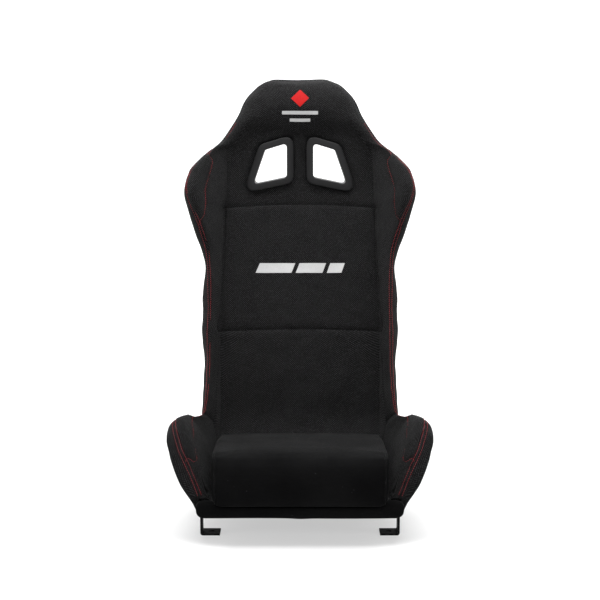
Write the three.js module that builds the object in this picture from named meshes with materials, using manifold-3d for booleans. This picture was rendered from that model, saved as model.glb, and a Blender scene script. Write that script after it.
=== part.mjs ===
// A fixed-back racing seat: a bent-tube steel frame, foam pads sewn into a fabric cover, a lift-out
// seat cushion, plastic harness-slot bezels and four L-shaped side-mount brackets.
//
// Millimetres. +Z is up, the sitter faces -Y and +X is the seat's left-to-right axis. The origin is
// on the ground under the centre of the seat. Everything soft is placed on one "spine": a line in the
// middle plane that runs rearwards along the seat pan, turns up at the hips and climbs the backrest
// to the top of the head. A station s is a distance along that spine, x is across the seat and n is
// square to the spine, positive towards the sitter.
import * as THREE from "three";
import { mergeVertices } from "three/addons/utils/BufferGeometryUtils.js";
import Module from "manifold-3d";

const wasm = await Module();
wasm.setup();

// ---------------------------------------------------------------- driving dimensions
const GAP = 0.4; // between neighbouring solids
const PAN_Z = 90; // top of the base pad, above the ground
const PAN_FRONT_Y = -255; // before the whole seat is centred
const CENTRE_Y = 3.9; // middle of the finished seat, front to rear
const PAN_LENGTH = 210; // flat part of the pan
const HIP_RADIUS = 150;
const BACK_RECLINE = 14; // degrees from vertical
const HEAD_RECLINE = 6;
const BACK_END = 905; // station where the backrest begins to turn upright
const NECK_RADIUS = 600;
const SEAM_LOW = 592; // stations of the sewn seams that cross the backrest
const SEAM_HIGH = 886;
const TOP = 1187; // station of the head's top edge

const PAD_BACK = -18; // n of the rear face of the back pads
const PAD_UNDER = -11; // n of the underside of the base pads
const COVER_BACK = -51; // n of the outside of the rear cover
const COVER_T = 3.5; // thickness of the bonded cover where it has no foam

const TUBE_R = 12.5; // main frame tube
const TUBE_N = -34; // n of its centreline up the back
const BASE_TUBE_X = 184.2;
const CROSS_R = 11;
const TUBE_WALL = 2;

const WALL_X = 204.8; // outside of the flat side wall that the brackets press on
const PLATE_X = 197; // inner face of the side plate
const PLATE_T = 4;
const BOLT_Z = 88;
const BOLT_FRONT_Y = -185;
const BOLT_PITCH = 290; // front to rear hole spacing
const BOLT_R = 4; // M8

const BRACKET_T = 4;
const BRACKET_W = 38;
const BRACKET_TOP = 106;
const BRACKET_CLEAR = 98; // above this height no bolt head or washer stands on the outer face
const FOOT_LENGTH = 41;
const SLOT_FROM_BEND = 22; // middle of the foot's slot, from the bracket's outer face
const SLOT_TRAVEL = 2;
const SLOT_R = 4.5;

const CUSHION_HALF = 179;

const COLOURS = {
  mesh_fabric: [0x1b1c1d, 0.9, 0],
  cushion_fabric: [0x141415, 0.95, 0],
  frame_steel: [0x1a1a1b, 0.5, 0.6],
  bracket_steel: [0x121213, 0.45, 0.5],
  plastic: [0x202122, 0.45, 0],
  webbing: [0x0f0f10, 0.9, 0],
  zinc: [0x8d8f92, 0.35, 0.9],
};

// ---------------------------------------------------------------- curves
// A smooth function through [s, value] knots that never overshoots them (monotone cubic).
function through(knots) {
  const s = knots.map((k) => k[0]);
  const v = knots.map((k) => k[1]);
  const slope = s.slice(1).map((b, i) => (v[i + 1] - v[i]) / (b - s[i]));
  const tangent = v.map((_, i) => {
    if (i === 0) return slope[0];
    if (i === v.length - 1) return slope[i - 1];
    const [p, q] = [slope[i - 1], slope[i]];
    return p * q <= 0 ? 0 : (2 * p * q) / (p + q);
  });
  return (at) => {
    const t = Math.min(Math.max(at, s[0]), s[s.length - 1]);
    let i = 0;
    while (i < s.length - 2 && t > s[i + 1]) i += 1;
    const h = s[i + 1] - s[i];
    const u = (t - s[i]) / h;
    const [a, b] = [v[i], v[i + 1]];
    return (
      a * (1 + 2 * u) * (1 - u) ** 2 +
      b * u * u * (3 - 2 * u) +
      h * (tangent[i] * u * (1 - u) ** 2 + tangent[i + 1] * u * u * (u - 1))
    );
  };
}

const rad = THREE.MathUtils.degToRad;
const HIP_ARC = HIP_RADIUS * rad(90 - BACK_RECLINE);
const NECK_ARC = NECK_RADIUS * rad(BACK_RECLINE - HEAD_RECLINE);

// [y, z, heading] of the spine: heading 0 runs rearwards, a right angle runs straight up.
function spine(s) {
  const arc = (start, radius, from, length) => [
    start[0] + radius * (Math.sin(from + length / radius) - Math.sin(from)),
    start[1] - radius * (Math.cos(from + length / radius) - Math.cos(from)),
    from + length / radius,
  ];
  const line = (start, length) => [
    start[0] + length * Math.cos(start[2]),
    start[1] + length * Math.sin(start[2]),
    start[2],
  ];
  const pan = [PAN_FRONT_Y, PAN_Z, 0];
  if (s <= PAN_LENGTH) return line(pan, s);
  const hip = line(pan, PAN_LENGTH);
  const pastHip = s - PAN_LENGTH;
  if (pastHip <= HIP_ARC) return arc(hip, HIP_RADIUS, 0, pastHip);
  const back = arc(hip, HIP_RADIUS, 0, HIP_ARC);
  if (s <= BACK_END) return line(back, pastHip - HIP_ARC);
  const neck = line(back, BACK_END - PAN_LENGTH - HIP_ARC);
  const pastNeck = s - BACK_END;
  if (pastNeck <= NECK_ARC) return arc(neck, NECK_RADIUS, neck[2], pastNeck);
  return line(arc(neck, NECK_RADIUS, neck[2], NECK_ARC), pastNeck - NECK_ARC);
}

function place(s, x, n) {
  const [y, z, heading] = spine(s);
  return new THREE.Vector3(x, y - n * Math.sin(heading), z + n * Math.cos(heading));
}

// ---------------------------------------------------------------- the seat's outer surface
// How far the middle of the front surface stands off the spine: flat, then the head pillow.
const middle = through([
  [0, 0], [SEAM_HIGH, 0], [1052, 4], [1084, 24], [1118, 34], [1150, 26], [1172, 8], [TOP, -20],
]);

// Six guide lines run along each side of the seat, given here for x > 0 as [s, x, n].
const GUIDES = {
  // where the bolster rises from the centre panel
  root: [
    [0, 183, -7], [12, 183, 0], [210, 183, 0], [300, 182, 0], [409, 184, 0], [SEAM_LOW, 184, 0],
    [760, 178, 0], [SEAM_HIGH, 174, 0], [1014, 168, 2], [1043, 146, 8], [1067, 130, 18],
    [1096, 116, 27], [1134, 104, 25], [1160, 88, 12], [1178, 72, -6], [TOP, 58, -22],
  ],
  // halfway up the bolster's inner face
  slope: [
    [0, 194, -4], [8, 200, 18], [24, 206, 52], [60, 211, 76], [210, 208, 72], [310, 203, 64],
    [409, 196, 46], [520, 193, 30], [760, 192, 30], [830, 202, 50], [SEAM_HIGH, 210, 64],
    [960, 205, 54], [1014, 190, 22], [1043, 160, 10], [1067, 146, 15], [1096, 130, 20],
    [1134, 115, 18], [1160, 98, 6], [1178, 80, -10], [TOP, 64, -24],
  ],
  // the bolster's crest
  crest: [
    [0, 207, 6], [4, 217, 34], [10, 228, 62], [24, 242, 103], [46, 249, 138], [75, 251, 152],
    [130, 249, 145], [210, 244, 132], [250, 238, 129], [280, 232, 126], [310, 228, 121],
    [341, 222, 113], [363, 219, 104], [385, 216, 94], [409, 214, 84], [520, 207, 56],
    [640, 207, 50], [760, 210, 54], [830, 225, 86], [905, 242, 106], [960, 234, 92],
    [1014, 204, 44], [1043, 174, 6], [1067, 158, 6], [1096, 142, 8], [1134, 124, 6],
    [1160, 106, -4], [1178, 87, -16], [TOP, 68, -27],
  ],
  // the widest line of the side
  edge: [
    [0, 219, 4], [4, 236, 27], [10, 249, 50], [24, 265, 84], [46, 275, 110], [75, 276, 114],
    [130, 272, 108], [210, 260, 100], [310, 238, 82], [409, 224, 54], [520, 220, 30],
    [600, 225, 28], [660, 225, 28], [735, 220, 30], [771, 226, 38], [830, 246, 64], [905, 265, 84],
    [960, 256, 70], [1014, 214, 26], [1043, 184, -6], [1067, 166, -10], [1096, 150, -12],
    [1134, 132, -14], [1160, 112, -20], [1178, 92, -25], [TOP, 71, -30],
  ],
  // the top of the flat wall that the brackets press on; up the back, the middle of the side
  wall: [
    [0, 210, -14], [4, 216, -6], [10, 218, 4], [30, WALL_X, 22], [210, WALL_X, 22],
    [262, WALL_X, 6], [300, WALL_X, -10], [350, WALL_X, -24], [409, 219, -8], [520, 221, -8],
    [600, 226, -8], [660, 226, -8], [735, 221, -8], [771, 226, -6], [905, 261, 14], [960, 250, 8],
    [1014, 212, -8], [1043, 184, -26], [1067, 166, -28], [1096, 150, -28], [1134, 132, -30],
    [1160, 112, -32], [1178, 92, -34], [TOP, 71, -36],
  ],
  // where the side ends: the bottom edge of the base, then the rear corner of the back
  hem: [
    [0, 203, -29], [8, WALL_X, -35], [22, WALL_X, -36], [210, WALL_X, -36], [262, WALL_X, -48],
    [288, WALL_X, -62], [317, WALL_X, -74], [341, WALL_X, -68], [350, WALL_X, -64],
    [385, 209, -54], [409, 212, COVER_BACK], [520, 213, COVER_BACK], [760, 218, COVER_BACK],
    [905, 248, COVER_BACK], [960, 238, COVER_BACK], [1014, 202, COVER_BACK],
    [1043, 174, COVER_BACK], [1067, 156, COVER_BACK], [1096, 140, COVER_BACK],
    [1134, 122, COVER_BACK], [1160, 102, COVER_BACK], [1178, 84, -48], [TOP, 64, -43],
  ],
};
const GUIDE_NAMES = ["root", "slope", "crest", "edge", "wall", "hem"];
const guide = Object.fromEntries(
  GUIDE_NAMES.map((name) => [
    name,
    {
      x: through(GUIDES[name].map(([s, x]) => [s, x])),
      n: through(GUIDES[name].map(([s, , n]) => [s, n])),
    },
  ]),
);

// The outer surface: v is 0 in the middle, 1 at the root line, then one more for each guide line.
function surface(s, v) {
  if (v <= 1) {
    const x = v * guide.root.x(s);
    const n = middle(s) + (guide.root.n(s) - middle(s)) * v * v;
    return place(s, x, n);
  }
  const at = GUIDE_NAMES.map((name) => [guide[name].x(s), guide[name].n(s)]);
  const i = Math.min(Math.floor(v) - 1, at.length - 2);
  const u = v - 1 - i;
  const before = at[i - 1] ?? [2 * at[0][0] - at[1][0], 2 * at[0][1] - at[1][1]];
  const after = at[i + 2] ?? [2 * at[5][0] - at[4][0], 2 * at[5][1] - at[4][1]];
  const spline = (k) => {
    const [p0, p1, p2, p3] = [before[k], at[i][k], at[i + 1][k], after[k]];
    const cubic = 3 * (p1 - p2) + p3 - p0;
    return p1 + 0.5 * u * (p2 - p0 + u * (2 * p0 - 5 * p1 + 4 * p2 - p3 + u * cubic));
  };
  return place(s, spline(0), spline(1));
}

// ---------------------------------------------------------------- building solids
function steps(from, to, count) {
  return Array.from({ length: count + 1 }, (_, i) => from + ((to - from) * i) / count);
}

const mirror = (p) => new THREE.Vector3(-p.x, p.y, p.z);
const mix = THREE.MathUtils.lerp;

function geometryOf(points, triangles) {
  const flat = new Float32Array(points.flatMap((p) => [p.x, p.y, p.z]));
  const geometry = new THREE.BufferGeometry();
  geometry.setAttribute("position", new THREE.BufferAttribute(flat, 3));
  geometry.setIndex(triangles);
  return geometry;
}

// A closed solid between two grids of points, over the cells that `active(row, column)` keeps.
function between(front, back, active = () => true) {
  const rows = front.length - 1;
  const columns = front[0].length - 1;
  const points = [...front.flat(), ...back.flat()];
  const shift = points.length / 2;
  const id = (r, c) => r * (columns + 1) + c;
  const kept = (r, c) => r >= 0 && c >= 0 && r < rows && c < columns && active(r, c);
  const triangles = [];
  const quad = (a, b, c, d) => triangles.push(a, b, c, a, c, d);
  for (let r = 0; r < rows; r += 1) {
    for (let c = 0; c < columns; c += 1) {
      if (!kept(r, c)) continue;
      const corners = [id(r, c), id(r, c + 1), id(r + 1, c + 1), id(r + 1, c)];
      quad(...corners);
      quad(...corners.map((k) => k + shift).reverse());
      const beyond = [kept(r - 1, c), kept(r, c + 1), kept(r + 1, c), kept(r, c - 1)];
      beyond.forEach((joined, side) => {
        const [a, b] = [corners[side], corners[(side + 1) % 4]];
        if (!joined) quad(b, a, shift + a, shift + b);
      });
    }
  }
  return geometryOf(points, triangles);
}

function manifoldOf(positions, triangles) {
  const mesh = new wasm.Mesh({
    numProp: 3,
    vertProperties: positions,
    triVerts: new Uint32Array(triangles),
  });
  return new wasm.Manifold(mesh);
}

// The solid inside a closed geometry, with its faces turned outwards.
function solid(geometry) {
  const bare = geometry.clone();
  bare.deleteAttribute("normal");
  bare.deleteAttribute("uv");
  const merged = mergeVertices(bare, 1e-3);
  const positions = merged.attributes.position.array;
  const corners = Array.from(merged.index.array);
  const triangles = [];
  for (let i = 0; i < corners.length; i += 3) {
    const [a, b, c] = corners.slice(i, i + 3);
    if (a !== b && b !== c && c !== a) triangles.push(a, b, c);
  }
  const made = manifoldOf(positions, triangles);
  return made.volume() > 0 ? made : manifoldOf(positions, triangles.reverse());
}

function geometryFrom(made) {
  const mesh = made.getMesh();
  const flat = new Float32Array(mesh.numVert * 3);
  for (let i = 0; i < mesh.numVert; i += 1) {
    flat.set(mesh.vertProperties.subarray(i * mesh.numProp, i * mesh.numProp + 3), i * 3);
  }
  const geometry = new THREE.BufferGeometry();
  geometry.setAttribute("position", new THREE.BufferAttribute(flat, 3));
  geometry.setIndex(new THREE.BufferAttribute(new Uint32Array(mesh.triVerts), 1));
  return geometry;
}

const seat = new THREE.Group();

function addShape(name, shape, colour) {
  const [color, roughness, metalness] = COLOURS[colour];
  shape.computeVertexNormals();
  const mesh = new THREE.Mesh(shape, new THREE.MeshStandardMaterial({ color, roughness, metalness }));
  mesh.name = name;
  seat.add(mesh);
}

const add = (name, made, colour) => addShape(name, geometryFrom(made), colour);

const mirrored = (made) => solid(geometryFrom(made).scale(-1, 1, 1));

// The same triangles on the other side of the middle plane, still facing outwards.
function mirroredShape(shape) {
  const turned = shape.clone().scale(-1, 1, 1);
  const corners = turned.index.array;
  for (let i = 0; i < corners.length; i += 3) {
    [corners[i], corners[i + 1]] = [corners[i + 1], corners[i]];
  }
  return turned;
}

// Both sides of the seat, from the solid of the right-hand one. They share one list of triangles.
function addPair(name, made, colour) {
  const left = geometryFrom(mirrored(made));
  addShape(`${name}_left`, left, colour);
  addShape(`${name}_right`, mirroredShape(left), colour);
}

function tube(curve, radius, sides, lengths) {
  const ring = steps(0, 2 * Math.PI, sides).slice(0, -1);
  const section = new THREE.Shape(
    ring.map((a) => new THREE.Vector2(radius * Math.cos(a), radius * Math.sin(a))),
  );
  return solid(new THREE.ExtrudeGeometry(section, { extrudePath: curve, steps: lengths }));
}

// A block with a rounded or plain outline, drawn in a plane and pushed through it.
function prism(outline, depth, matrix) {
  const options = { depth, bevelEnabled: false, curveSegments: 6 };
  return solid(new THREE.ExtrudeGeometry(outline, options).applyMatrix4(matrix));
}

function box(x0, x1, y0, y1, z0, z1) {
  const made = new THREE.BoxGeometry(x1 - x0, y1 - y0, z1 - z0);
  return solid(made.translate((x0 + x1) / 2, (y0 + y1) / 2, (z0 + z1) / 2));
}

// A bar along X, from one x to another.
function barX(x0, x1, y, z, radius, sides) {
  const made = new THREE.CylinderGeometry(radius, radius, Math.abs(x1 - x0), sides);
  return solid(made.rotateZ(Math.PI / 2).translate((x0 + x1) / 2, y, z));
}

// Matrix of a plane square to the spine's normal: its x is across, its y is up the spine.
function planeAt(s, n) {
  const heading = spine(s)[2];
  const across = new THREE.Vector3(1, 0, 0);
  const up = new THREE.Vector3(0, Math.cos(heading), Math.sin(heading));
  const out = new THREE.Vector3(0, -Math.sin(heading), Math.cos(heading));
  return new THREE.Matrix4().makeBasis(across, up, out).setPosition(place(s, 0, n));
}

// ---------------------------------------------------------------- foam pads in their cover
const HEAD_SHOULDER = 1022; // where the head pad spreads past the bolsters
const LEG_END = 385; // where the leg bolster meets the back bolster
const BASE_END = 300; // where the base pad meets the lower back panel

const underside = through([[0, PAD_UNDER], [210, PAD_UNDER], [409, PAD_BACK], [TOP, PAD_BACK]]);

// The foam's inner face, behind surface(s, v). Past the wall line only the cover's thickness is left.
function inside(s, v) {
  const root = guide.root.x(s);
  const corner = guide.wall.x(s) - COVER_T;
  const lining = Math.min(underside(s), middle(s) + underside(s));
  if (v <= 1) return place(s, v * root, lining);
  if (v <= 5) return place(s, mix(root, corner, (v - 1) / 4), lining);
  const x = mix(guide.wall.x(s), guide.hem.x(s), v - 5) - COVER_T;
  return place(s, x, mix(lining, guide.hem.n(s), v - 5));
}

const sided = (point) => (s, v) => (v < 0 ? mirror(point(s, -v)) : point(s, v));

function pad(stations, columns, active) {
  const grid = (point) => stations.map((s) => columns.map((v) => sided(point)(s, v)));
  return solid(between(grid(surface), grid(inside), active));
}

const PANEL_COLUMNS = [-0.995, -0.5, 0, 0.5, 0.995];
const SIDE_COLUMNS = [1.01, 1.5, 2, 2.5, 3, 3.5, 4, 4.5, 5, 6];
const HALF_HEAD = [0, 0.35, 0.7, 0.995, 1.5, 2, 2.5, 3, 3.5, 4, 4.5, 5, 6];
const HEAD_COLUMNS = [...HALF_HEAD.slice(1).reverse().map((v) => -v), ...HALF_HEAD];
const HEAD_ROWS = [
  SEAM_HIGH + GAP, 930, 975, HEAD_SHOULDER, 1040, 1058, 1076, 1096, 1118, 1134, 1150, 1162, 1174,
  1182, TOP,
];
const BACK_ROWS = [
  LEG_END + GAP, 409, 445, 490, 540, 600, 660, 715, 760, 795, 830, 868, 905, 935, 965, 990,
  HEAD_SHOULDER - GAP,
];
const LEG_ROWS = [
  0, 4, 10, 17, 24, 35, 46, 60, 75, 100, 130, 170, 210, 245, 280, 310, 341, 363, LEG_END - GAP,
];

// ---------------------------------------------------------------- harness slots
const SLOT_RIM = 16; // width of a bezel's flange
const SLOT_WALL = 3; // thickness of its sleeve
const SLOT_LOW = 924; // stations of the flange's lowest and highest points
const SLOT_HIGH = 1052;
const FLANGE_T = 6.5;
const FLANGE_LIFT = 0.8;
const SLOT_SPLIT = -25; // where the front sleeve meets the rear one

// Corners of the opening as [x, s], on the right-hand side.
const SLOT_CORNERS = [[31, 954], [31, 1034], [83, 1018], [111, 937]];

const slotLow = place(SLOT_LOW, 0, 2);
const slotHigh = place(SLOT_HIGH, 0, 6);
const slotUp = slotHigh.clone().sub(slotLow).normalize();
const slotOut = new THREE.Vector3(1, 0, 0).cross(slotUp);
slotOut.addScaledVector(slotUp, -slotOut.z / slotUp.z); // the tunnel runs level
const slotMiddle = slotLow.clone().lerp(slotHigh, 0.5);

function slotPlane(n) {
  const across = new THREE.Vector3(1, 0, 0);
  const origin = slotMiddle.clone().addScaledVector(slotOut, n);
  return new THREE.Matrix4().makeBasis(across, slotUp, slotOut).setPosition(origin);
}

// The slot's outline, grown by some distance, with round corners.
function slotOutline(grow, radius) {
  const centre = (SLOT_LOW + SLOT_HIGH) / 2;
  const corners = SLOT_CORNERS.map(([x, s]) => new THREE.Vector2(x, s - centre));
  const sides = corners.map((from, i) => {
    const along = corners[(i + 1) % 4].clone().sub(from).normalize();
    const out = new THREE.Vector2(-along.y, along.x);
    return { from: from.clone().addScaledVector(out, grow), along };
  });
  const grown = sides.map((side, i) => {
    const before = sides[(i + 3) % 4];
    const across = before.from.clone().sub(side.from);
    const t = across.cross(before.along) / side.along.cross(before.along);
    return side.from.clone().addScaledVector(side.along, t);
  });
  const outline = new THREE.Shape();
  grown.forEach((corner, i) => {
    const [before, after] = [grown[(i + 3) % 4], grown[(i + 1) % 4]];
    const into = corner.clone().add(before.clone().sub(corner).setLength(radius));
    const away = corner.clone().add(after.clone().sub(corner).setLength(radius));
    if (i === 0) outline.moveTo(into.x, into.y);
    else outline.lineTo(into.x, into.y);
    outline.quadraticCurveTo(corner.x, corner.y, away.x, away.y);
  });
  outline.closePath();
  return outline;
}

const opening = (n0, n1) => prism(slotOutline(0, 12), n1 - n0, slotPlane(n0));
const sleeve = (n0, n1) => prism(slotOutline(SLOT_WALL, 15), n1 - n0, slotPlane(n0));
const flange = (n0, n1) => prism(slotOutline(SLOT_RIM, 26), n1 - n0, slotPlane(n0));
const slotCut = () => prism(slotOutline(SLOT_WALL + GAP, 15), 90, slotPlane(-70));

const COVER_DIP = 6.5; // how far the rear bezels stand off the cover's hem line
const bezelBack = COVER_BACK - COVER_DIP - FLANGE_LIFT;
const frontBezel = flange(FLANGE_LIFT, FLANGE_LIFT + FLANGE_T)
  .add(sleeve(SLOT_SPLIT, FLANGE_LIFT + 1))
  .subtract(opening(SLOT_SPLIT - 1, FLANGE_LIFT + FLANGE_T + 1));
const rearBezel = flange(bezelBack - FLANGE_T, bezelBack)
  .add(sleeve(bezelBack - 1, SLOT_SPLIT - GAP))
  .subtract(opening(bezelBack - FLANGE_T - 1, SLOT_SPLIT + 1));

// ---------------------------------------------------------------- side mounts
const BOLT_REAR_Y = BOLT_FRONT_Y + BOLT_PITCH;
const PLATE_OUT = PLATE_X + PLATE_T;
const BRACKET_X = WALL_X + GAP;
const BRACKET_OUT = BRACKET_X + BRACKET_T;

const sideways = (x) => {
  const basis = new THREE.Matrix4();
  const [along, up, out] = [[0, 1, 0], [0, 0, 1], [1, 0, 0]].map((v) => new THREE.Vector3(...v));
  return basis.makeBasis(along, up, out).setPosition(x, 0, 0);
};

function polygon(points) {
  return new THREE.Shape(points.map(([a, b]) => new THREE.Vector2(a, b)));
}

// A round bar along X through a bolt's centre.
const across = (x0, x1, y, radius, sides = 16) => barX(x0, x1, y, BOLT_Z, radius, sides);

function sidePlateOutline(grow) {
  return polygon([
    [-229 - grow, 57 - grow], [50 + grow, 57 - grow], [97 + grow, 75 - grow],
    [119 + grow, 100 - grow], [119 + grow, 114 + grow], [-229 - grow, 114 + grow],
  ]);
}

const boltYs = { front: BOLT_FRONT_Y, rear: BOLT_REAR_Y };
const NUT_X = PLATE_X - GAP;
const NUT_T = 6.5;

let sidePlate = prism(sidePlateOutline(0), PLATE_T, sideways(PLATE_X));
let leg = pad(LEG_ROWS, SIDE_COLUMNS).subtract(
  prism(sidePlateOutline(GAP), PLATE_OUT - PLATE_X + 2 * GAP - 0.1, sideways(PLATE_X - GAP)),
);
for (const y of Object.values(boltYs)) {
  sidePlate = sidePlate.subtract(across(PLATE_X - 1, PLATE_OUT + 1, y, BOLT_R + 0.5));
  leg = leg.subtract(across(NUT_X - NUT_T - 4, WALL_X + 1, y, BOLT_R + 0.6));
  leg = leg.subtract(across(NUT_X - NUT_T - 5, NUT_X + 1, y, 9.5));
}

function bracket(y) {
  const bend = 6;
  const outline = new THREE.Shape();
  outline.moveTo(BRACKET_OUT, BRACKET_CLEAR);
  outline.lineTo(BRACKET_OUT, bend);
  outline.absarc(BRACKET_OUT - bend, bend, bend, 0, -Math.PI / 2, true);
  outline.lineTo(BRACKET_OUT - FOOT_LENGTH, 0);
  outline.lineTo(BRACKET_OUT - FOOT_LENGTH, BRACKET_T);
  outline.lineTo(BRACKET_OUT - bend, BRACKET_T);
  outline.absarc(BRACKET_OUT - bend, bend, bend - BRACKET_T, -Math.PI / 2, 0, false);
  outline.lineTo(BRACKET_X, BRACKET_TOP);
  outline.lineTo(BRACKET_OUT, BRACKET_TOP);
  outline.closePath();
  const turn = new THREE.Matrix4().makeRotationX(Math.PI / 2).setPosition(0, y + BRACKET_W / 2, 0);
  const footSlot = new THREE.Shape();
  const footMiddle = BRACKET_OUT - SLOT_FROM_BEND;
  footSlot.absarc(footMiddle - SLOT_TRAVEL, y, SLOT_R, Math.PI / 2, (3 * Math.PI) / 2, false);
  footSlot.absarc(footMiddle + SLOT_TRAVEL, y, SLOT_R, -Math.PI / 2, Math.PI / 2, false);
  return prism(outline, BRACKET_W, turn)
    .subtract(across(BRACKET_X - 1, BRACKET_OUT + 1, y, BOLT_R + 0.5))
    .subtract(prism(footSlot, 12, new THREE.Matrix4().makeTranslation(0, 0, -4)));
}

// A turned part along X, from [radius, x] points, through a bolt's centre.
function turned(profile, y, sides = 16) {
  const points = profile.map(([r, x]) => new THREE.Vector2(r, x));
  const made = new THREE.LatheGeometry(points, sides).rotateZ(-Math.PI / 2);
  return solid(made.translate(0, y, BOLT_Z));
}

const WASHER_X = BRACKET_OUT + GAP;
const WASHER_T = 1.6;
const HEAD_X = WASHER_X + WASHER_T + GAP;
const HEAD_T = 4.4;
const SHANK_END = NUT_X - NUT_T - 2;

const bolt = (y) =>
  turned(
    [
      [0, SHANK_END], [BOLT_R - 0.8, SHANK_END], [BOLT_R, SHANK_END + 0.8], [BOLT_R, HEAD_X],
      [7, HEAD_X], [7, HEAD_X + 1.2], [5.4, HEAD_X + HEAD_T], [2.8, HEAD_X + HEAD_T],
      [2.8, HEAD_X + HEAD_T - 2.6], [0, HEAD_X + HEAD_T - 2.6],
    ],
    y,
  );

const ring = (inner, outer, x0, x1) => [
  [inner, x0], [outer, x0], [outer, x1], [inner, x1], [inner, x0],
];
const washer = (y) => turned(ring(BOLT_R + 0.4, 8, WASHER_X, WASHER_X + WASHER_T), y, 20);
const nut = (y) =>
  across(NUT_X - NUT_T, NUT_X, y, 7.5, 6).subtract(
    across(NUT_X - NUT_T - 1, NUT_X + 1, y, BOLT_R + 0.3),
  );

// ---------------------------------------------------------------- tubular frame
const HOOP_PATH = [
  [14, BASE_TUBE_X, -24], [110, BASE_TUBE_X, -24], [210, BASE_TUBE_X, -24],
  [262, BASE_TUBE_X, -26], [310, BASE_TUBE_X, -29], [360, BASE_TUBE_X, -32], [409, 186, TUBE_N],
  [450, 187, TUBE_N], [600, 190, TUBE_N], [760, 193, TUBE_N], [850, 202, TUBE_N],
  [905, 208, TUBE_N], [950, 204, TUBE_N], [990, 188, TUBE_N], [1030, 163, TUBE_N],
  [1070, 138, TUBE_N], [1106, 117, TUBE_N], [1134, 92, TUBE_N], [1148, 60, TUBE_N],
  [1150, 20, TUBE_N],
];
const hoopRight = HOOP_PATH.map(([s, x, n]) => place(s, x, n));
const hoopCurve = new THREE.CatmullRomCurve3(
  [...hoopRight, ...hoopRight.map(mirror).reverse()],
  false,
  "centripetal",
);
const hoopX = through(HOOP_PATH.slice(0, -4).map(([s, x]) => [s, x]));
const hoopN = through(HOOP_PATH.map(([s, , n]) => [s, n]));
const HOOP_SIDES = 8;
const HOOP_LENGTHS = 76;
const hoopSolid = (radius) => tube(hoopCurve, radius, HOOP_SIDES, HOOP_LENGTHS);

// The bore runs a little past both ends of the tube, so that it opens there.
function hoopBore() {
  const ends = hoopCurve.getPoints(HOOP_LENGTHS);
  const before = ends[0].clone().addScaledVector(hoopCurve.getTangent(0), -2);
  const after = ends[HOOP_LENGTHS].clone().addScaledVector(hoopCurve.getTangent(1), 2);
  const narrow = TUBE_R - TUBE_WALL - 0.3;
  const stub = (from, to) => tube(new THREE.LineCurve3(from, to), narrow, HOOP_SIDES, 1);
  const into = (t) => hoopCurve.getPoint(t);
  return hoopSolid(TUBE_R - TUBE_WALL)
    .add(stub(before, into(0.004)))
    .add(stub(into(0.996), after));
}

const frameHoop = hoopSolid(TUBE_R).subtract(hoopBore());
const hoopClearance = hoopSolid(TUBE_R + GAP);

// A cross tube coped to the main tube on both sides.
function crossTube(y, z, reach, radius) {
  return barX(-reach, reach, y, z, radius, 12)
    .subtract(barX(-reach - 1, reach + 1, y, z, radius - TUBE_WALL, 12))
    .subtract(hoopClearance);
}

function crossTubeAt(s) {
  const centre = place(s, 0, hoopN(s));
  return crossTube(centre.y, centre.z, hoopX(s) - 4, CROSS_R);
}

const LUMBAR = 600; // stations of the cross tubes
const HIP = 322;
const SHOULDER = 892;
const HEAD_TUBE = 1066;

function headUpright() {
  const low = place(SHOULDER + CROSS_R + GAP, 0, TUBE_N);
  const high = place(HEAD_TUBE - CROSS_R - GAP, 0, TUBE_N);
  const past = high.clone().sub(low).setLength(1);
  const bore = new THREE.LineCurve3(low.clone().sub(past), high.clone().add(past));
  const [radius, sides] = [8, 10];
  const outside = tube(new THREE.LineCurve3(low, high), radius, sides, 1);
  return outside.subtract(tube(bore, radius - TUBE_WALL, sides, 1));
}

// A strip that follows the spine, between two x, two stations and two n; `base` bends it in n.
function strip([x0, x1], [s0, s1], [n0, n1], rows = 1, base = () => 0) {
  const grid = (n) => steps(s0, s1, rows).map((s) => [x0, x1].map((x) => place(s, x, base(s) + n)));
  return solid(between(grid(n1), grid(n0)));
}

const PAN_HALF = 170;
const seatPan = strip([-PAN_HALF, PAN_HALF], [18, 290], [-2.2, -0.7], 12, underside);
const STRAP_STATIONS = { hip: 440, lumbar: 520, chest: 690, shoulder: 790 };
const STRAP_W = 38;

// ---------------------------------------------------------------- rear cover
const COVER_ROWS = [
  292, 310, 330, 350, 370, 390, 409, 520, 640, 680, 760, 795, 830, 868, 905, 935, 965, 990, 1022,
  1040, 1058, 1076, 1096, 1118, 1134, 1150, 1162, 1174, 1182, TOP - 1,
];
const coverHalf = (s) => Math.min(guide.hem.x(s) - COVER_T - 3 * GAP, s < 360 ? 196.4 : 400);
const coverN = through([[292, COVER_BACK], [1160, COVER_BACK], [1178, COVER_BACK + 2], [TOP, -43]]);

const ZIP_LOW = 430; // stations of the zip's ends
const ZIP_HIGH = 850;
const ZIP_T = 2;

function coverSheet(stations) {
  const across = [-1, -0.5, 0, 0.5, 1];
  const grid = (rise) =>
    stations.map((s) => across.map((v) => place(s, v * coverHalf(s), coverN(s) + rise)));
  return solid(between(grid(COVER_T), grid(0)));
}

const rearCover = coverSheet([...COVER_ROWS.filter((s) => s < SEAM_HIGH), SEAM_HIGH - GAP]);
const rearHeadCover = coverSheet([SEAM_HIGH, ...COVER_ROWS.filter((s) => s > SEAM_HIGH)])
  .subtract(slotCut())
  .subtract(mirrored(slotCut()));

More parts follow.
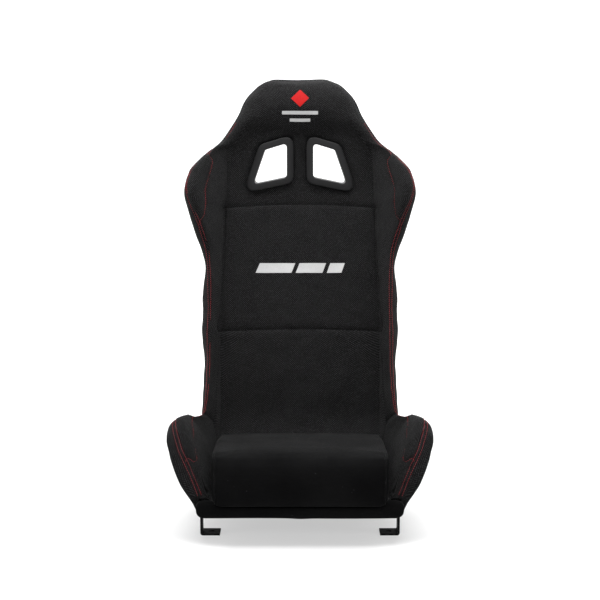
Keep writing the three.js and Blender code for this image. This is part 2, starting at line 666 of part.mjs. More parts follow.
// ---------------------------------------------------------------- lip under the cushion's front
// A band with raised, rounded ends that fill the corners beside the cushion.
function frontLip() {
  const [low, high, horn] = [55, 80, 93];
  const right = [
    [199, low], [206, low + 7], [211, low + 18], [211, horn - 9], [206, horn - 2], [199, horn],
    [187, horn], [183, horn - 3], [176, high],
  ];
  const left = right.map(([x, z]) => [-x, z]).reverse();
  const turn = new THREE.Matrix4().makeRotationX(Math.PI / 2);
  return prism(polygon([...right, ...left]), 11, turn.setPosition(0, PAN_FRONT_Y - GAP, 0));
}

// ---------------------------------------------------------------- seat cushion
const CUSHION_N = 4; // gap under it, filled by the hook-and-loop strips
const CUSHION_FRONT = -292;
const CUSHION_LOW = 81; // the front edge hangs a little over the lip
const CUSHION_TOP_FRONT = 192;
const CUSHION_TOP_REAR = 154;
const CUSHION_REAR_S = 342;
const TAPE_X = [80, 110]; // the hook and loop strips' sides
const TAPE_SPAN = [40, 200]; // and the stations of their ends
const TAPE_T = 1.5;

function seatCushion() {
  const edge = 7; // bevel on every edge
  const under = steps(PAN_LENGTH, CUSHION_REAR_S, 6).map((s) => place(s, 0, CUSHION_N + edge));
  const outline = [
    [CUSHION_FRONT + edge + 2, CUSHION_LOW + edge],
    [PAN_FRONT_Y + 8, PAN_Z + CUSHION_N + edge],
    ...under.map((p) => [p.y, p.z]),
    [CUSHION_FRONT + 190, 184 - edge],
    [CUSHION_FRONT + 40, CUSHION_TOP_FRONT + 2 - edge],
    [CUSHION_FRONT + 16, CUSHION_TOP_FRONT - 2 - edge],
    [CUSHION_FRONT + edge + 1, CUSHION_TOP_FRONT - 14 - edge],
    [CUSHION_FRONT + edge - 4, 140],
  ];
  const half = CUSHION_HALF - edge;
  const options = { depth: 2 * half, bevelSize: edge, bevelThickness: edge, bevelSegments: 2 };
  const shape = new THREE.ExtrudeGeometry(polygon(outline), options);
  return solid(shape.applyMatrix4(sideways(-half)));
}

// ---------------------------------------------------------------- the parts
const head = pad(HEAD_ROWS, HEAD_COLUMNS, (r, c) => {
  const spread = HEAD_ROWS[r] >= HEAD_SHOULDER;
  return spread || (Math.abs(HEAD_COLUMNS[c]) < 1 && Math.abs(HEAD_COLUMNS[c + 1]) < 1);
});
add("head_pad", head.subtract(slotCut()).subtract(mirrored(slotCut())), "mesh_fabric");
add("upper_back_pad", pad(steps(SEAM_LOW + GAP, SEAM_HIGH - GAP, 3), PANEL_COLUMNS), "mesh_fabric");
add("lower_back_pad", pad(steps(BASE_END + GAP, SEAM_LOW - GAP, 7), PANEL_COLUMNS), "mesh_fabric");
add("base_pad", pad([2, 12, 210, 232, 255, 278, BASE_END - GAP], PANEL_COLUMNS), "mesh_fabric");
addPair("back_bolster", pad(BACK_ROWS, SIDE_COLUMNS), "mesh_fabric");
addPair("leg_bolster", leg, "mesh_fabric");
add("front_lip", frontLip(), "cushion_fabric");
add("rear_cover", rearCover, "mesh_fabric");
add("rear_head_cover", rearHeadCover, "mesh_fabric");
const onCover = (n) => COVER_BACK - n;
const zipTape = strip([-11, 11], [ZIP_LOW, ZIP_HIGH], [onCover(ZIP_T), onCover(GAP)]);
const zipSlider = strip([-5, 5], [ZIP_LOW + 4, ZIP_LOW + 20], [onCover(ZIP_T + 4), onCover(ZIP_T + GAP)]);
add("zip_tape", zipTape, "webbing");
add("zip_slider", zipSlider, "zinc");
addPair("front_bezel", frontBezel, "plastic");
addPair("rear_bezel", rearBezel, "plastic");

add("frame_hoop", frameHoop, "frame_steel");
add("front_cross_tube", crossTube(-226, 64.5, BASE_TUBE_X - 4, CROSS_R), "frame_steel");
add("hip_cross_tube", crossTubeAt(HIP), "frame_steel");
add("lumbar_cross_tube", crossTubeAt(LUMBAR), "frame_steel");
add("shoulder_cross_tube", crossTubeAt(SHOULDER), "frame_steel");
add("head_cross_tube", crossTubeAt(HEAD_TUBE), "frame_steel");
add("head_upright", headUpright(), "frame_steel");
add("seat_pan", seatPan, "frame_steel");
for (const [name, s] of Object.entries(STRAP_STATIONS)) {
  const reach = hoopX(s) + 4;
  const span = [s - STRAP_W / 2, s + STRAP_W / 2];
  add(`${name}_strap`, strip([-reach, reach], span, [PAD_BACK - 2.6, PAD_BACK - 0.6]), "webbing");
}

addPair("side_plate", sidePlate, "frame_steel");
for (const [end, y] of Object.entries(boltYs)) {
  addPair(`${end}_bracket`, bracket(y), "bracket_steel");
  addPair(`${end}_bolt`, bolt(y), "zinc");
  addPair(`${end}_washer`, washer(y), "zinc");
  addPair(`${end}_weld_nut`, nut(y), "zinc");
}

add("seat_cushion", seatCushion(), "cushion_fabric");
addPair("hook_strip", strip(TAPE_X, TAPE_SPAN, [0.3, 0.3 + TAPE_T]), "webbing");
addPair("loop_strip", strip(TAPE_X, TAPE_SPAN, [0.6 + TAPE_T, 0.6 + 2 * TAPE_T]), "webbing");

seat.position.y = -CENTRE_Y;

export default seat;
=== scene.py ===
"""A fixed-back racing seat: sewn mesh-fabric covers, red topstitching, a soft cushion and the hardware.

Every fabric piece is laid out on one surface. A station s runs rearwards along the seat pan and then
up the backrest; v crosses the seat from 0 in the middle, past the bolster's root (1), crest (3) and
widest line (4), to the hem behind it (6). Those are in millimetres, and meshes are in metres.
"""

import math

import bmesh
import bpy
import numpy as np
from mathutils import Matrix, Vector
from mathutils.bvhtree import BVHTree


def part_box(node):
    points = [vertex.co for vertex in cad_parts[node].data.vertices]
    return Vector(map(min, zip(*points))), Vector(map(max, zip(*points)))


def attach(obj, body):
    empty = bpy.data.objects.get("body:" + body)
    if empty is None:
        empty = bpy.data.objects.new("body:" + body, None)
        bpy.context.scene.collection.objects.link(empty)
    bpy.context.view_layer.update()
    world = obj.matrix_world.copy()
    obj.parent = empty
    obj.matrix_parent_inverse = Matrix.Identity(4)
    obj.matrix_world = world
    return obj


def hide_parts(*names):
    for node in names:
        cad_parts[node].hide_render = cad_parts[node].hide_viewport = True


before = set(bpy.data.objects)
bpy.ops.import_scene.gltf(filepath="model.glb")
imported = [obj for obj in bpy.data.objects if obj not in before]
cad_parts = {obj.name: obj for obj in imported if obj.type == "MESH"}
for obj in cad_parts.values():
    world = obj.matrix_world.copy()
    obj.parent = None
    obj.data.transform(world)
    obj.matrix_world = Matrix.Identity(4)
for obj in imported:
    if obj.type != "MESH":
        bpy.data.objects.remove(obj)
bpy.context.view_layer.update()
MM = 0.001

# ---------------------------------------------------------------- the seat's surface
PAN_Z = 90
PAN_FRONT_Y = -255
CENTRE_Y = 3.9
PAN_LENGTH = 210
HIP_RADIUS = 150
BACK_ANGLE = math.radians(76)
HEAD_ANGLE = math.radians(84)
BACK_END = 905
NECK_RADIUS = 600
HIP_ARC = HIP_RADIUS * BACK_ANGLE
NECK_ARC = NECK_RADIUS * (HEAD_ANGLE - BACK_ANGLE)
BASE_END = 300
LEG_END = 385
SEAM_LOW = 592
SEAM_HIGH = 886
TOP = 1187
ROLL = 28  # past TOP the front cloth rolls over the head, and is tucked down behind it
ROLL_CREST = 5
ROLL_HALF = 78
ROLL_TUCK = 7
ROLL_BACK = -47
WALL_X = 204.8
COVER_BACK = -51


def through(knots):
    """A smooth function through (station, value) knots that never overshoots them."""
    s, v = np.array(knots, float).T
    slope = np.diff(v) / np.diff(s)
    tangent = np.concatenate([slope[:1], np.zeros(len(v) - 2), slope[-1:]])
    rising = slope[:-1] * slope[1:] > 0
    before, after = slope[:-1][rising], slope[1:][rising]
    tangent[1:-1][rising] = 2 * before * after / (before + after)

    def value(at):
        at = np.clip(np.asarray(at, float), s[0], s[-1])
        i = np.clip(np.searchsorted(s, at) - 1, 0, len(s) - 2)
        h = s[i + 1] - s[i]
        u = (at - s[i]) / h
        ends = v[i] * (1 + 2 * u) * (1 - u) ** 2 + v[i + 1] * u * u * (3 - 2 * u)
        return ends + h * (tangent[i] * u * (1 - u) ** 2 + tangent[i + 1] * u * u * (u - 1))

    return value


# The guide lines of the right-hand side, from the middle outwards, as (station, x, n).
GUIDES = [
    [  # where the bolster rises from the centre panel
        (0, 183, -7), (12, 183, 0), (210, 183, 0), (300, 182, 0), (409, 184, 0), (SEAM_LOW, 184, 0),
        (760, 178, 0), (SEAM_HIGH, 174, 0), (1014, 168, 2), (1043, 146, 8), (1067, 130, 18),
        (1096, 116, 27), (1134, 104, 25), (1160, 88, 12), (1178, 72, -6), (TOP, 58, -22),
    ],
    [  # halfway up the bolster's inner face
        (0, 194, -4), (8, 200, 18), (24, 206, 52), (60, 211, 76), (210, 208, 72), (310, 203, 64),
        (409, 196, 46), (520, 193, 30), (760, 192, 30), (830, 202, 50), (SEAM_HIGH, 210, 64),
        (960, 205, 54), (1014, 190, 22), (1043, 160, 10), (1067, 146, 15), (1096, 130, 20),
        (1134, 115, 18), (1160, 98, 6), (1178, 80, -10), (TOP, 64, -24),
    ],
    [  # the bolster's crest
        (0, 207, 6), (4, 217, 34), (10, 228, 62), (24, 242, 103), (46, 249, 138), (75, 251, 152),
        (130, 249, 145), (210, 244, 132), (250, 238, 129), (280, 232, 126), (310, 228, 121),
        (341, 222, 113), (363, 219, 104), (385, 216, 94), (409, 214, 84), (520, 207, 56),
        (640, 207, 50), (760, 210, 54), (830, 225, 86), (905, 242, 106), (960, 234, 92),
        (1014, 204, 44), (1043, 174, 6), (1067, 158, 6), (1096, 142, 8), (1134, 124, 6),
        (1160, 106, -4), (1178, 87, -16), (TOP, 68, -27),
    ],
    [  # the widest line of the side
        (0, 219, 4), (4, 236, 27), (10, 249, 50), (24, 265, 84), (46, 275, 110), (75, 276, 114),
        (130, 272, 108), (210, 260, 100), (310, 238, 82), (409, 224, 54), (520, 220, 30),
        (600, 225, 28), (660, 225, 28), (735, 220, 30), (771, 226, 38), (830, 246, 64),
        (905, 265, 84), (960, 256, 70), (1014, 214, 26), (1043, 184, -6), (1067, 166, -10),
        (1096, 150, -12), (1134, 132, -14), (1160, 112, -20), (1178, 92, -25), (TOP, 71, -30),
    ],
    [  # the top of the flat wall at the base; up the back, the middle of the side
        (0, 210, -14), (4, 216, -6), (10, 218, 4), (30, WALL_X, 22), (210, WALL_X, 22),
        (262, WALL_X, 6), (300, WALL_X, -10), (350, WALL_X, -24), (409, 219, -8), (520, 221, -8),
        (600, 226, -8), (660, 226, -8), (735, 221, -8), (771, 226, -6), (905, 261, 14),
        (960, 250, 8), (1014, 212, -8), (1043, 184, -26), (1067, 166, -28), (1096, 150, -28),
        (1134, 132, -30), (1160, 112, -32), (1178, 92, -34), (TOP, 71, -36),
    ],
    [  # the hem: the bottom edge of the base, then the rear corner of the back
        (0, 203, -29), (8, WALL_X, -35), (22, WALL_X, -36), (210, WALL_X, -36),
        (262, WALL_X, -48), (288, WALL_X, -62), (317, WALL_X, -74), (341, WALL_X, -68), (350, WALL_X, -64),
        (385, 209, -54), (409, 212, COVER_BACK), (520, 213, COVER_BACK), (760, 218, COVER_BACK),
        (905, 248, COVER_BACK), (960, 238, COVER_BACK), (1014, 202, COVER_BACK),
        (1043, 174, COVER_BACK), (1067, 156, COVER_BACK), (1096, 140, COVER_BACK),
        (1134, 122, COVER_BACK), (1160, 102, COVER_BACK), (1178, 84, -48), (TOP, 64, -43),
    ],
]
GUIDE_X = [through([(s, x) for s, x, n in guide]) for guide in GUIDES]
GUIDE_N = [through([(s, n) for s, x, n in guide]) for guide in GUIDES]
root_x, hem_x = GUIDE_X[0], GUIDE_X[5]
pillow = through([(0, 0), (SEAM_HIGH, 0), (1052, 4), (1084, 24), (1118, 34), (1150, 26), (1172, 8),
                  (TOP, -20)])
lining = through([(0, -11), (PAN_LENGTH, -11), (409, -18), (TOP, -18)])

# Where the seams run, as v over the station.
side_seam = through([(0, 1), (300, 1), (360, 1.45), (399, 1.6), (577, 1.2), (700, 1.03), (760, 1),
                     (TOP, 1)])
edge_seam = through([(0, 2.45), (6, 2.7), (24, 3.15), (60, 3.3), (210, 3.3), (330, 3.2), (422, 2.9),
                     (553, 3.07), (699, 3.02), (760, 3.1), (826, 3.25), (882, 3.53), (930, 3.72),
                     (1000, 3.55), (1080, 3.45), (TOP, 3.6)])
junction = through([(1, 356), (1.18, 366), (1.94, 372), (2.56, 378), (3.5, 380), (6, 385)])


def spine(s):
    """y, z and heading of the seat's middle line at stations s."""
    s = np.asarray(s, float)
    hip = np.clip(s - PAN_LENGTH, 0, HIP_ARC) / HIP_RADIUS
    straight = np.clip(s - PAN_LENGTH - HIP_ARC, 0, BACK_END - PAN_LENGTH - HIP_ARC)
    neck = BACK_ANGLE + np.clip(s - BACK_END, 0, NECK_ARC) / NECK_RADIUS
    past = np.maximum(s - BACK_END - NECK_ARC, 0)
    y = PAN_FRONT_Y - CENTRE_Y + np.minimum(s, PAN_LENGTH) + HIP_RADIUS * np.sin(hip)
    y = y + straight * math.cos(BACK_ANGLE) + past * math.cos(HEAD_ANGLE)
    y = y + NECK_RADIUS * (np.sin(neck) - math.sin(BACK_ANGLE))
    z = PAN_Z + HIP_RADIUS * (1 - np.cos(hip)) + straight * math.sin(BACK_ANGLE)
    z = z + past * math.sin(HEAD_ANGLE) - NECK_RADIUS * (np.cos(neck) - math.cos(BACK_ANGLE))
    return y, z, hip + neck - BACK_ANGLE


def place(s, x, n):
    """Points at stations s, x across and n square to the spine."""
    s, x, n = np.broadcast_arrays(*(np.asarray(a, float) for a in (s, x, n)))
    y, z, heading = spine(s)
    return np.stack([x, y - n * np.sin(heading), z + n * np.cos(heading)], -1)


def section(s, v):
    """x and n of the outer surface; v below 0 is the left-hand side."""
    s, v = np.broadcast_arrays(np.asarray(s, float), np.asarray(v, float))
    side = np.where(v < 0, -1, 1)
    v = np.abs(v)
    span = np.clip(np.floor(v).astype(int) - 1, 0, 4)
    u = v - 1 - span
    flat_wall = (v > 5) * (1 - fade(s, 320, 420))

    def spline(lines):
        at = np.array([line(s) for line in lines])
        padded = np.concatenate([2 * at[:1] - at[1:2], at, 2 * at[5:] - at[4:5]])
        p0, p1, p2, p3 = (np.take_along_axis(padded, (span + k)[None], 0)[0] for k in range(4))
        cubic = 3 * (p1 - p2) + p3 - p0
        curved = p1 + 0.5 * u * (p2 - p0 + u * (2 * p0 - 5 * p1 + 4 * p2 - p3 + u * cubic))
        return at[0], curved + flat_wall * (p1 + u * (p2 - p1) - curved)

    x_root, x = spline(GUIDE_X)
    n_root, n = spline(GUIDE_N)
    x = np.where(v <= 1, v * x_root, x)
    n = np.where(v <= 1, pillow(s) + (n_root - pillow(s)) * v * v, n)
    return side * x, n


def fade(value, start, end):
    """0 at start, 1 at end, and smooth between them."""
    t = np.clip((value - start) / (end - start), 0, 1)
    return t * t * (3 - 2 * t)


def laid(row, column):
    """Station and v of a place on the cut cloth. Columns 0..1 cross the insert, 1..2 the bolster's
    front and 2..3 its side. Rows bend with the cross seams and the seam above the leg bolster."""
    side, column = np.sign(column), np.abs(column)
    seam, edge = side_seam(row), edge_seam(row)
    v = np.where(column <= 1, column * seam, seam + (column - 1) * (edge - seam))
    v = np.where(column > 2, edge + (column - 2) * (6 - edge), v)
    reach = np.where(row < LEG_END, LEG_END - BASE_END, 45)
    s = row + (junction(v) - LEG_END) * np.clip(1 - np.abs(row - LEG_END) / reach, 0, 1)
    for seam_row, bow in ((SEAM_LOW, 5), (SEAM_HIGH, 8)):
        near = np.clip(1 - np.abs(row - seam_row) / 70, 0, 1)
        s = s + near * bow * (np.clip(1 - v * v, 0, 1) - 0.5)
    return s, side * v


def outer(row, column):
    """Points of the cloth before its relief. Past TOP it rolls over to the back."""
    row, column = np.broadcast_arrays(np.asarray(row, float), np.asarray(column, float))
    s, v = laid(np.minimum(row, TOP), column)
    x, n = section(s, v)
    t = np.clip((row - TOP) / ROLL, 0, 1)
    turn = math.pi * (0.25 + 0.75 * t)
    over = (math.cos(math.pi / 4) - np.cos(turn)) / (math.cos(math.pi / 4) + 1)
    crest = ROLL_CREST * np.maximum(1 - (x / ROLL_HALF) ** 2, 0)
    rise = crest * (np.sin(turn) - math.sin(math.pi / 4) * (1 - t)) - ROLL_TUCK * t * t
    return place(s + rise, x * (1 - 0.02 * t), n + over * (ROLL_BACK - n))


def foam_back(row, column):
    """The foam's inner face behind the front of the seat."""
    row, column = np.broadcast_arrays(np.asarray(row, float), np.asarray(column, float))
    s, v = laid(np.minimum(row, TOP), column)
    depth = np.minimum(lining(s), pillow(s) + lining(s))
    across = root_x(s) + (GUIDE_X[4](s) - 6 - root_x(s)) * (np.abs(v) - 1) / 4
    x = np.where(np.abs(v) <= 1, np.abs(v) * root_x(s), across)
    t = np.clip((row - TOP) / ROLL, 0, 1)
    return place(s - (6 + 3 * t) * (row > TOP), np.sign(v) * x * (1 - 0.05 * t), depth + t * (-43 - depth))


def normals(grid):
    """Outward unit normals of a grid whose rows climb and whose columns run left to right."""
    across = np.gradient(grid, axis=1)
    up = np.gradient(grid, axis=0)
    n = np.cross(across, up)
    return n / np.maximum(np.linalg.norm(n, axis=-1, keepdims=True), 1e-9)


def evenly(points_at, start, end, step, ends=0.55):
    """Parameters from start to end whose points lie about step apart, closer near both ends."""
    fine = np.linspace(start, end, 600)
    gaps = np.linalg.norm(np.diff(points_at(fine), axis=-2), axis=-1)
    length = np.concatenate([[0], np.cumsum(gaps.max(0) if gaps.ndim > 1 else gaps)])
    count = max(int(round(length[-1] / step)), 4)
    f = np.linspace(0, 1, count + 1)
    f = f - ends * np.sin(2 * math.pi * f) / (2 * math.pi)
    return np.interp(f * length[-1], length, fine)


def rows_between(start, end, step, columns, ends=0.55):
    """Rows from start to end, about step apart where the listed columns run."""
    lines = np.array(columns, float)[:, None]
    return evenly(lambda row: outer(row[None, :], lines), start, end, step, ends)


def columns_between(start, end, step, rows, ends=0.55):
    """Columns from start to end, about step apart where the listed rows run."""
    lines = np.array(rows, float)[:, None]
    return evenly(lambda column: outer(lines, column[None, :]), start, end, step, ends)


# ---------------------------------------------------------------- harness slots
SLOT_RIM = 16
SLOT_WALL = 3
SLOT_LOW = 924
SLOT_HIGH = 1052
SLOT_CORNERS = np.array([(31, 954), (31, 1034), (83, 1018), (111, 937)], float)
SLOT_CORNERS[:, 1] -= (SLOT_LOW + SLOT_HIGH) / 2
FLANGE_T = 6.5
FLANGE_LIFT = 0.8
SLOT_SPLIT = -25
BEZEL_BACK = COVER_BACK - FLANGE_T - FLANGE_LIFT
slot_low, slot_high = place([SLOT_LOW, SLOT_HIGH], 0, [2, 6])
slot_middle = (slot_low + slot_high) / 2
slot_up = (slot_high - slot_low) / np.linalg.norm(slot_high - slot_low)


def slot_plane(x, up, n):
    """Points in the tilted plane of the harness slots; n runs level, towards the sitter."""
    x, up, n = np.broadcast_arrays(*(np.asarray(a, float) for a in (x, up, n)))
    level = np.array([0, -1 / slot_up[2], 0])
    right = np.array([1.0, 0, 0])
    return slot_middle + x[..., None] * right + up[..., None] * slot_up + n[..., None] * level


def slot_distance(points):
    """How far points lie outside the nearer slot's opening, seen along its tunnel."""
    up = (points[..., 2] - slot_middle[2]) / slot_up[2]
    at = np.stack([np.abs(points[..., 0]), up], -1)
    sides = []
    for start, end in zip(SLOT_CORNERS, np.roll(SLOT_CORNERS, -1, 0)):
        along = (end - start) / np.linalg.norm(end - start)
        sides.append((at - start) @ np.array([-along[1], along[0]]))
    softness = 4
    return softness * np.log(np.sum(np.exp(np.clip(np.array(sides), -200, 200) / softness), 0))


def slot_outline(grow, radius, per_corner=9, per_side=7):
    """The slot's outline as (x, up), grown outwards by `grow`, with corners of that radius."""
    along = np.roll(SLOT_CORNERS, -1, 0) - SLOT_CORNERS
    along /= np.linalg.norm(along, axis=1, keepdims=True)
    start = SLOT_CORNERS + grow * np.stack([-along[:, 1], along[:, 0]], 1)
    corners = []
    for i in range(4):
        t = np.linalg.solve(np.stack([along[i], -along[i - 1]], 1), start[i - 1] - start[i])
        corners.append(start[i] + t[0] * along[i])
    outline = []
    for i in range(4):
        ways = [corners[i - 1] - corners[i], corners[(i + 1) % 4] - corners[i]]
        ways = [way / np.linalg.norm(way) for way in ways]
        half_angle = math.acos(ways[0] @ ways[1]) / 2
        into, away = (corners[i] + radius / math.tan(half_angle) * way for way in ways)
        for u in np.linspace(0, 1, per_corner):
            outline.append((1 - u) ** 2 * into + 2 * u * (1 - u) * corners[i] + u * u * away)
    sides = []
    for i in range(4):
        sides += outline[i * per_corner:(i + 1) * per_corner]
        here, onward = outline[(i + 1) * per_corner - 1], outline[(i + 1) % 4 * per_corner]
        sides += [here + u * (onward - here) for u in np.linspace(0, 1, per_side + 2)[1:-1]]
    return np.array(sides)


# ---------------------------------------------------------------- relief of the sewn cloth
def seam(row, column, depth, width):
    """A sewn line: its points, how deep it pulls in at each of them, and how wide it dips."""
    row, column = np.broadcast_arrays(np.asarray(row, float), np.asarray(column, float))
    return outer(row, column), np.broadcast_to(np.asarray(depth, float), row.shape), width


def column_of(s, v):
    """The column of a place on the bolster's front, from its station and v."""
    return 1 + (v - side_seam(s)) / (edge_seam(s) - side_seam(s))


WING_LOW = 822
WING_HIGH = 1012
LEG_LOW = 15
LEG_HIGH = 306
long_rows = np.arange(BASE_END, 1022, 2.0)
all_rows = np.concatenate([np.arange(0, 24, 0.5), np.arange(24, TOP + ROLL, 2.0)])
wing_v = through([(822, 3.4), (832, 3.27), (844, 2.74), (856, 2.44), (885, 2.22), (912, 2.24), (934, 2.16),
                  (964, 2.06), (980, 2.06), (991, 2.22), (1006, 3.1), (1012, 3.5)])
leg_v = through([(15, 3.0), (20, 2.7), (27, 2.32), (46, 2.1), (58, 2.16), (129, 2.46), (160, 2.58),
                 (230, 2.8), (290, 3.1), (306, 3.25)])
wing_rows = np.arange(WING_LOW, WING_HIGH + 0.1, 1.0)
leg_rows = np.arange(LEG_LOW, LEG_HIGH, 1.0)
SEAMS = [
    seam(long_rows, 1, 5.5 - 3 * fade(long_rows, SEAM_HIGH - 20, SEAM_HIGH + 20)
         - 2.5 * fade(long_rows, 985, 1020), 7),
    seam(SEAM_LOW, np.linspace(0, 1, 90), 4.5, 6),
    seam(SEAM_HIGH, np.linspace(0, 1, 90), 4.5, 6),
    seam(LEG_END, np.linspace(1, 3, 140), 5 * (1 - 0.6 * fade(np.linspace(1, 3, 140), 2.2, 3)), 8),
    seam(all_rows, 2, 2.2, 3.5),
    seam(wing_rows, column_of(wing_rows, wing_v(wing_rows)), 2.2, 3.5),
    seam(leg_rows, column_of(leg_rows, leg_v(leg_rows)), 2.0, 3.5),
]


def nearest(points, line, chunk=4000):
    """Distance from each point to the nearest sample of a line, and which sample that is."""
    flat = points.reshape(-1, 3)
    away = np.empty(len(flat))
    which = np.empty(len(flat), int)
    for i in range(0, len(flat), chunk):
        part = flat[i:i + chunk]
        squared = (part ** 2).sum(1)[:, None] + (line ** 2).sum(1)[None] - 2 * part @ line.T
        which[i:i + chunk] = squared.argmin(1)
        away[i:i + chunk] = np.sqrt(np.maximum(squared.min(1), 0))
    return away.reshape(points.shape[:-1]), which.reshape(points.shape[:-1])


def ripple(points, size, seed, waves=14):
    """Slow unevenness of stretched cloth over foam, from -1 to 1."""
    draw = np.random.RandomState(seed)
    total = np.zeros(points.shape[:-1])
    for _ in range(waves):
        direction = draw.normal(size=3)
        direction *= 2 * math.pi / (size * draw.uniform(0.7, 1.6) * np.linalg.norm(direction))
        total += np.sin(points @ direction + draw.uniform(0, 2 * math.pi))
    return total / math.sqrt(waves)


def relief(points, row, column):
    """How far the finished cloth stands off outer(row, column): puffed foam, pulled in at seams."""
    mirrored = points * np.where(np.arange(3) == 0, np.sign(points[..., :1] + 1e-9), 1)
    s, v = laid(np.minimum(row, TOP), np.abs(column))
    rise = 0.8 * ripple(points, 90, 3) + 0.35 * ripple(points, 34, 5)
    away = []
    for line, depth, width in SEAMS:
        distance, which = nearest(mirrored, line)
        rise = rise - depth[which] * np.exp(-distance / width)
        away.append(distance)
    wing_edge = np.minimum(away[4], away[5])
    in_wing = (s > WING_LOW) & (s < WING_HIGH) & (v > wing_v(s)) & (v < edge_seam(s))
    rise = rise + in_wing * 4.5 * (1 - np.exp(-wing_edge / 9))
    leg_edge = np.minimum(away[4], away[6])
    in_leg = (s > LEG_LOW) & (s < LEG_HIGH) & (v > leg_v(s)) & (v < edge_seam(s))
    rise = rise + in_leg * 4.0 * (1 - np.exp(-leg_edge / 9))
    for station, across, depth, size in ((606, 1.16, 5, 15), (860, 1.04, 3, 18), (470, 1.5, 3, 22)):
        dimple = outer(station, across)
        rise = rise - depth * np.exp(-(((mirrored - dimple) / size) ** 2).sum(-1))
    at_bracket = (v > 4.4) & (row < BASE_END)
    rise = np.where(at_bracket, np.minimum(rise, 0) * 0.3, rise)
    slot = slot_distance(points)
    under = 1 - fade(slot, SLOT_RIM - 1, SLOT_RIM + 4)
    round_it = np.exp(-(((slot - SLOT_RIM - 12) / 9) ** 2))
    on_front = (row > SEAM_HIGH) & (np.abs(column) < 1.9)
    dipped = rise * (1 - under) - 3.2 * under + 3.0 * round_it * fade(points[..., 2], 690, 790)
    return np.where(on_front, dipped, rise)


# ---------------------------------------------------------------- meshes
def mesh_object(name, points, faces, uv=None, crease=40):
    """A smooth-shaded object from points in millimetres, with its cloth coordinates in metres."""
    mesh = bpy.data.meshes.new(name)
    mesh.from_pydata(np.asarray(points) * MM, [], np.asarray(faces).tolist())
    if uv is not None:
        corners = np.empty(len(mesh.loops), np.int32)
        mesh.loops.foreach_get("vertex_index", corners)
        layer = mesh.uv_layers.new(name="cloth")
        layer.data.foreach_set("uv", (uv[corners] * MM).astype(np.float32).ravel())
    mesh.polygons.foreach_set("use_smooth", np.ones(len(mesh.polygons), bool))
    mesh.set_sharp_from_angle(angle=math.radians(crease))
    made = bpy.data.objects.new(name, mesh)
    bpy.context.scene.collection.objects.link(made)
    return made


def shell_faces(rows, columns, keep):
    """Faces of the closed shell between two grids, over the cells that keep is true for."""
    index = np.arange((rows + 1) * (columns + 1)).reshape(rows + 1, columns + 1)
    back = index + index.size
    front_cells, back_cells = (
        np.stack([grid[:-1, :-1], grid[:-1, 1:], grid[1:, 1:], grid[1:, :-1]], -1)
        for grid in (index, back))
    faces = [front_cells[keep], back_cells[keep][:, ::-1]]
    padded = np.pad(keep, 1)
    beyond = [padded[:-2, 1:-1], padded[1:-1, 2:], padded[2:, 1:-1], padded[1:-1, :-2]]
    for side, joined in enumerate(beyond):
        rim = keep & ~joined
        a, b = side, (side + 1) % 4
        ring = [front_cells[..., b], front_cells[..., a], back_cells[..., a], back_cells[..., b]]
        faces.append(np.stack(ring, -1)[rim])
    return np.concatenate(faces)


def arc_lengths(grid, middle_column, middle_row):
    """Cloth coordinates: lengths along the columns and along the rows from one place in the grid."""
    across = np.linalg.norm(np.diff(grid, axis=1), axis=-1)
    across = np.pad(np.cumsum(across, 1), ((0, 0), (1, 0)))
    up = np.linalg.norm(np.diff(grid, axis=0), axis=-1)
    up = np.pad(np.cumsum(up, 0), ((1, 0), (0, 0)))
    return np.stack([across - across[:, [middle_column]], up - up[[middle_row]]], -1)


def only_used(points, faces, uv):
    """The points that the faces use, and the faces renumbered to them."""
    used, numbers = np.unique(faces, return_inverse=True)
    return points[used], numbers.reshape(faces.shape), uv[used]


def shell(name, front, back, uv, keep=None, crease=40, flip=False):
    """A closed piece between a front and a back grid, over the cells to keep, or its mirror image."""
    rows, columns = front.shape[0] - 1, front.shape[1] - 1
    keep = np.ones((rows, columns), bool) if keep is None else keep
    faces = shell_faces(rows, columns, keep)
    points = np.concatenate([front.reshape(-1, 3), back.reshape(-1, 3)])
    uv = np.concatenate([uv.reshape(-1, 2), uv.reshape(-1, 2)])
    points, faces, uv = only_used(points, faces, uv)
    if flip:
        points = points * [-1, 1, 1]
        faces = faces[:, ::-1]
    return mesh_object(name, points, faces, uv, crease)


def cloth_grid(rows, columns):
    """The finished front of the cloth over rows and columns, and its outward normals."""
    row, column = np.meshgrid(rows, columns, indexing="ij")
    flat = outer(row, column)
    out = normals(flat)
    lifted = flat + out * relief(flat, row, column)[..., None]
    return row, column, lifted, out


def cell_middles(grid):
    """The middle of every cell of a grid."""
    return (grid[:-1, :-1] + grid[1:, :-1] + grid[:-1, 1:] + grid[1:, 1:]) / 4


def join_lists(*parts):
    """Sorted parameters of several stretches, with shared ends kept once."""
    return np.unique(np.round(np.concatenate(parts), 6))


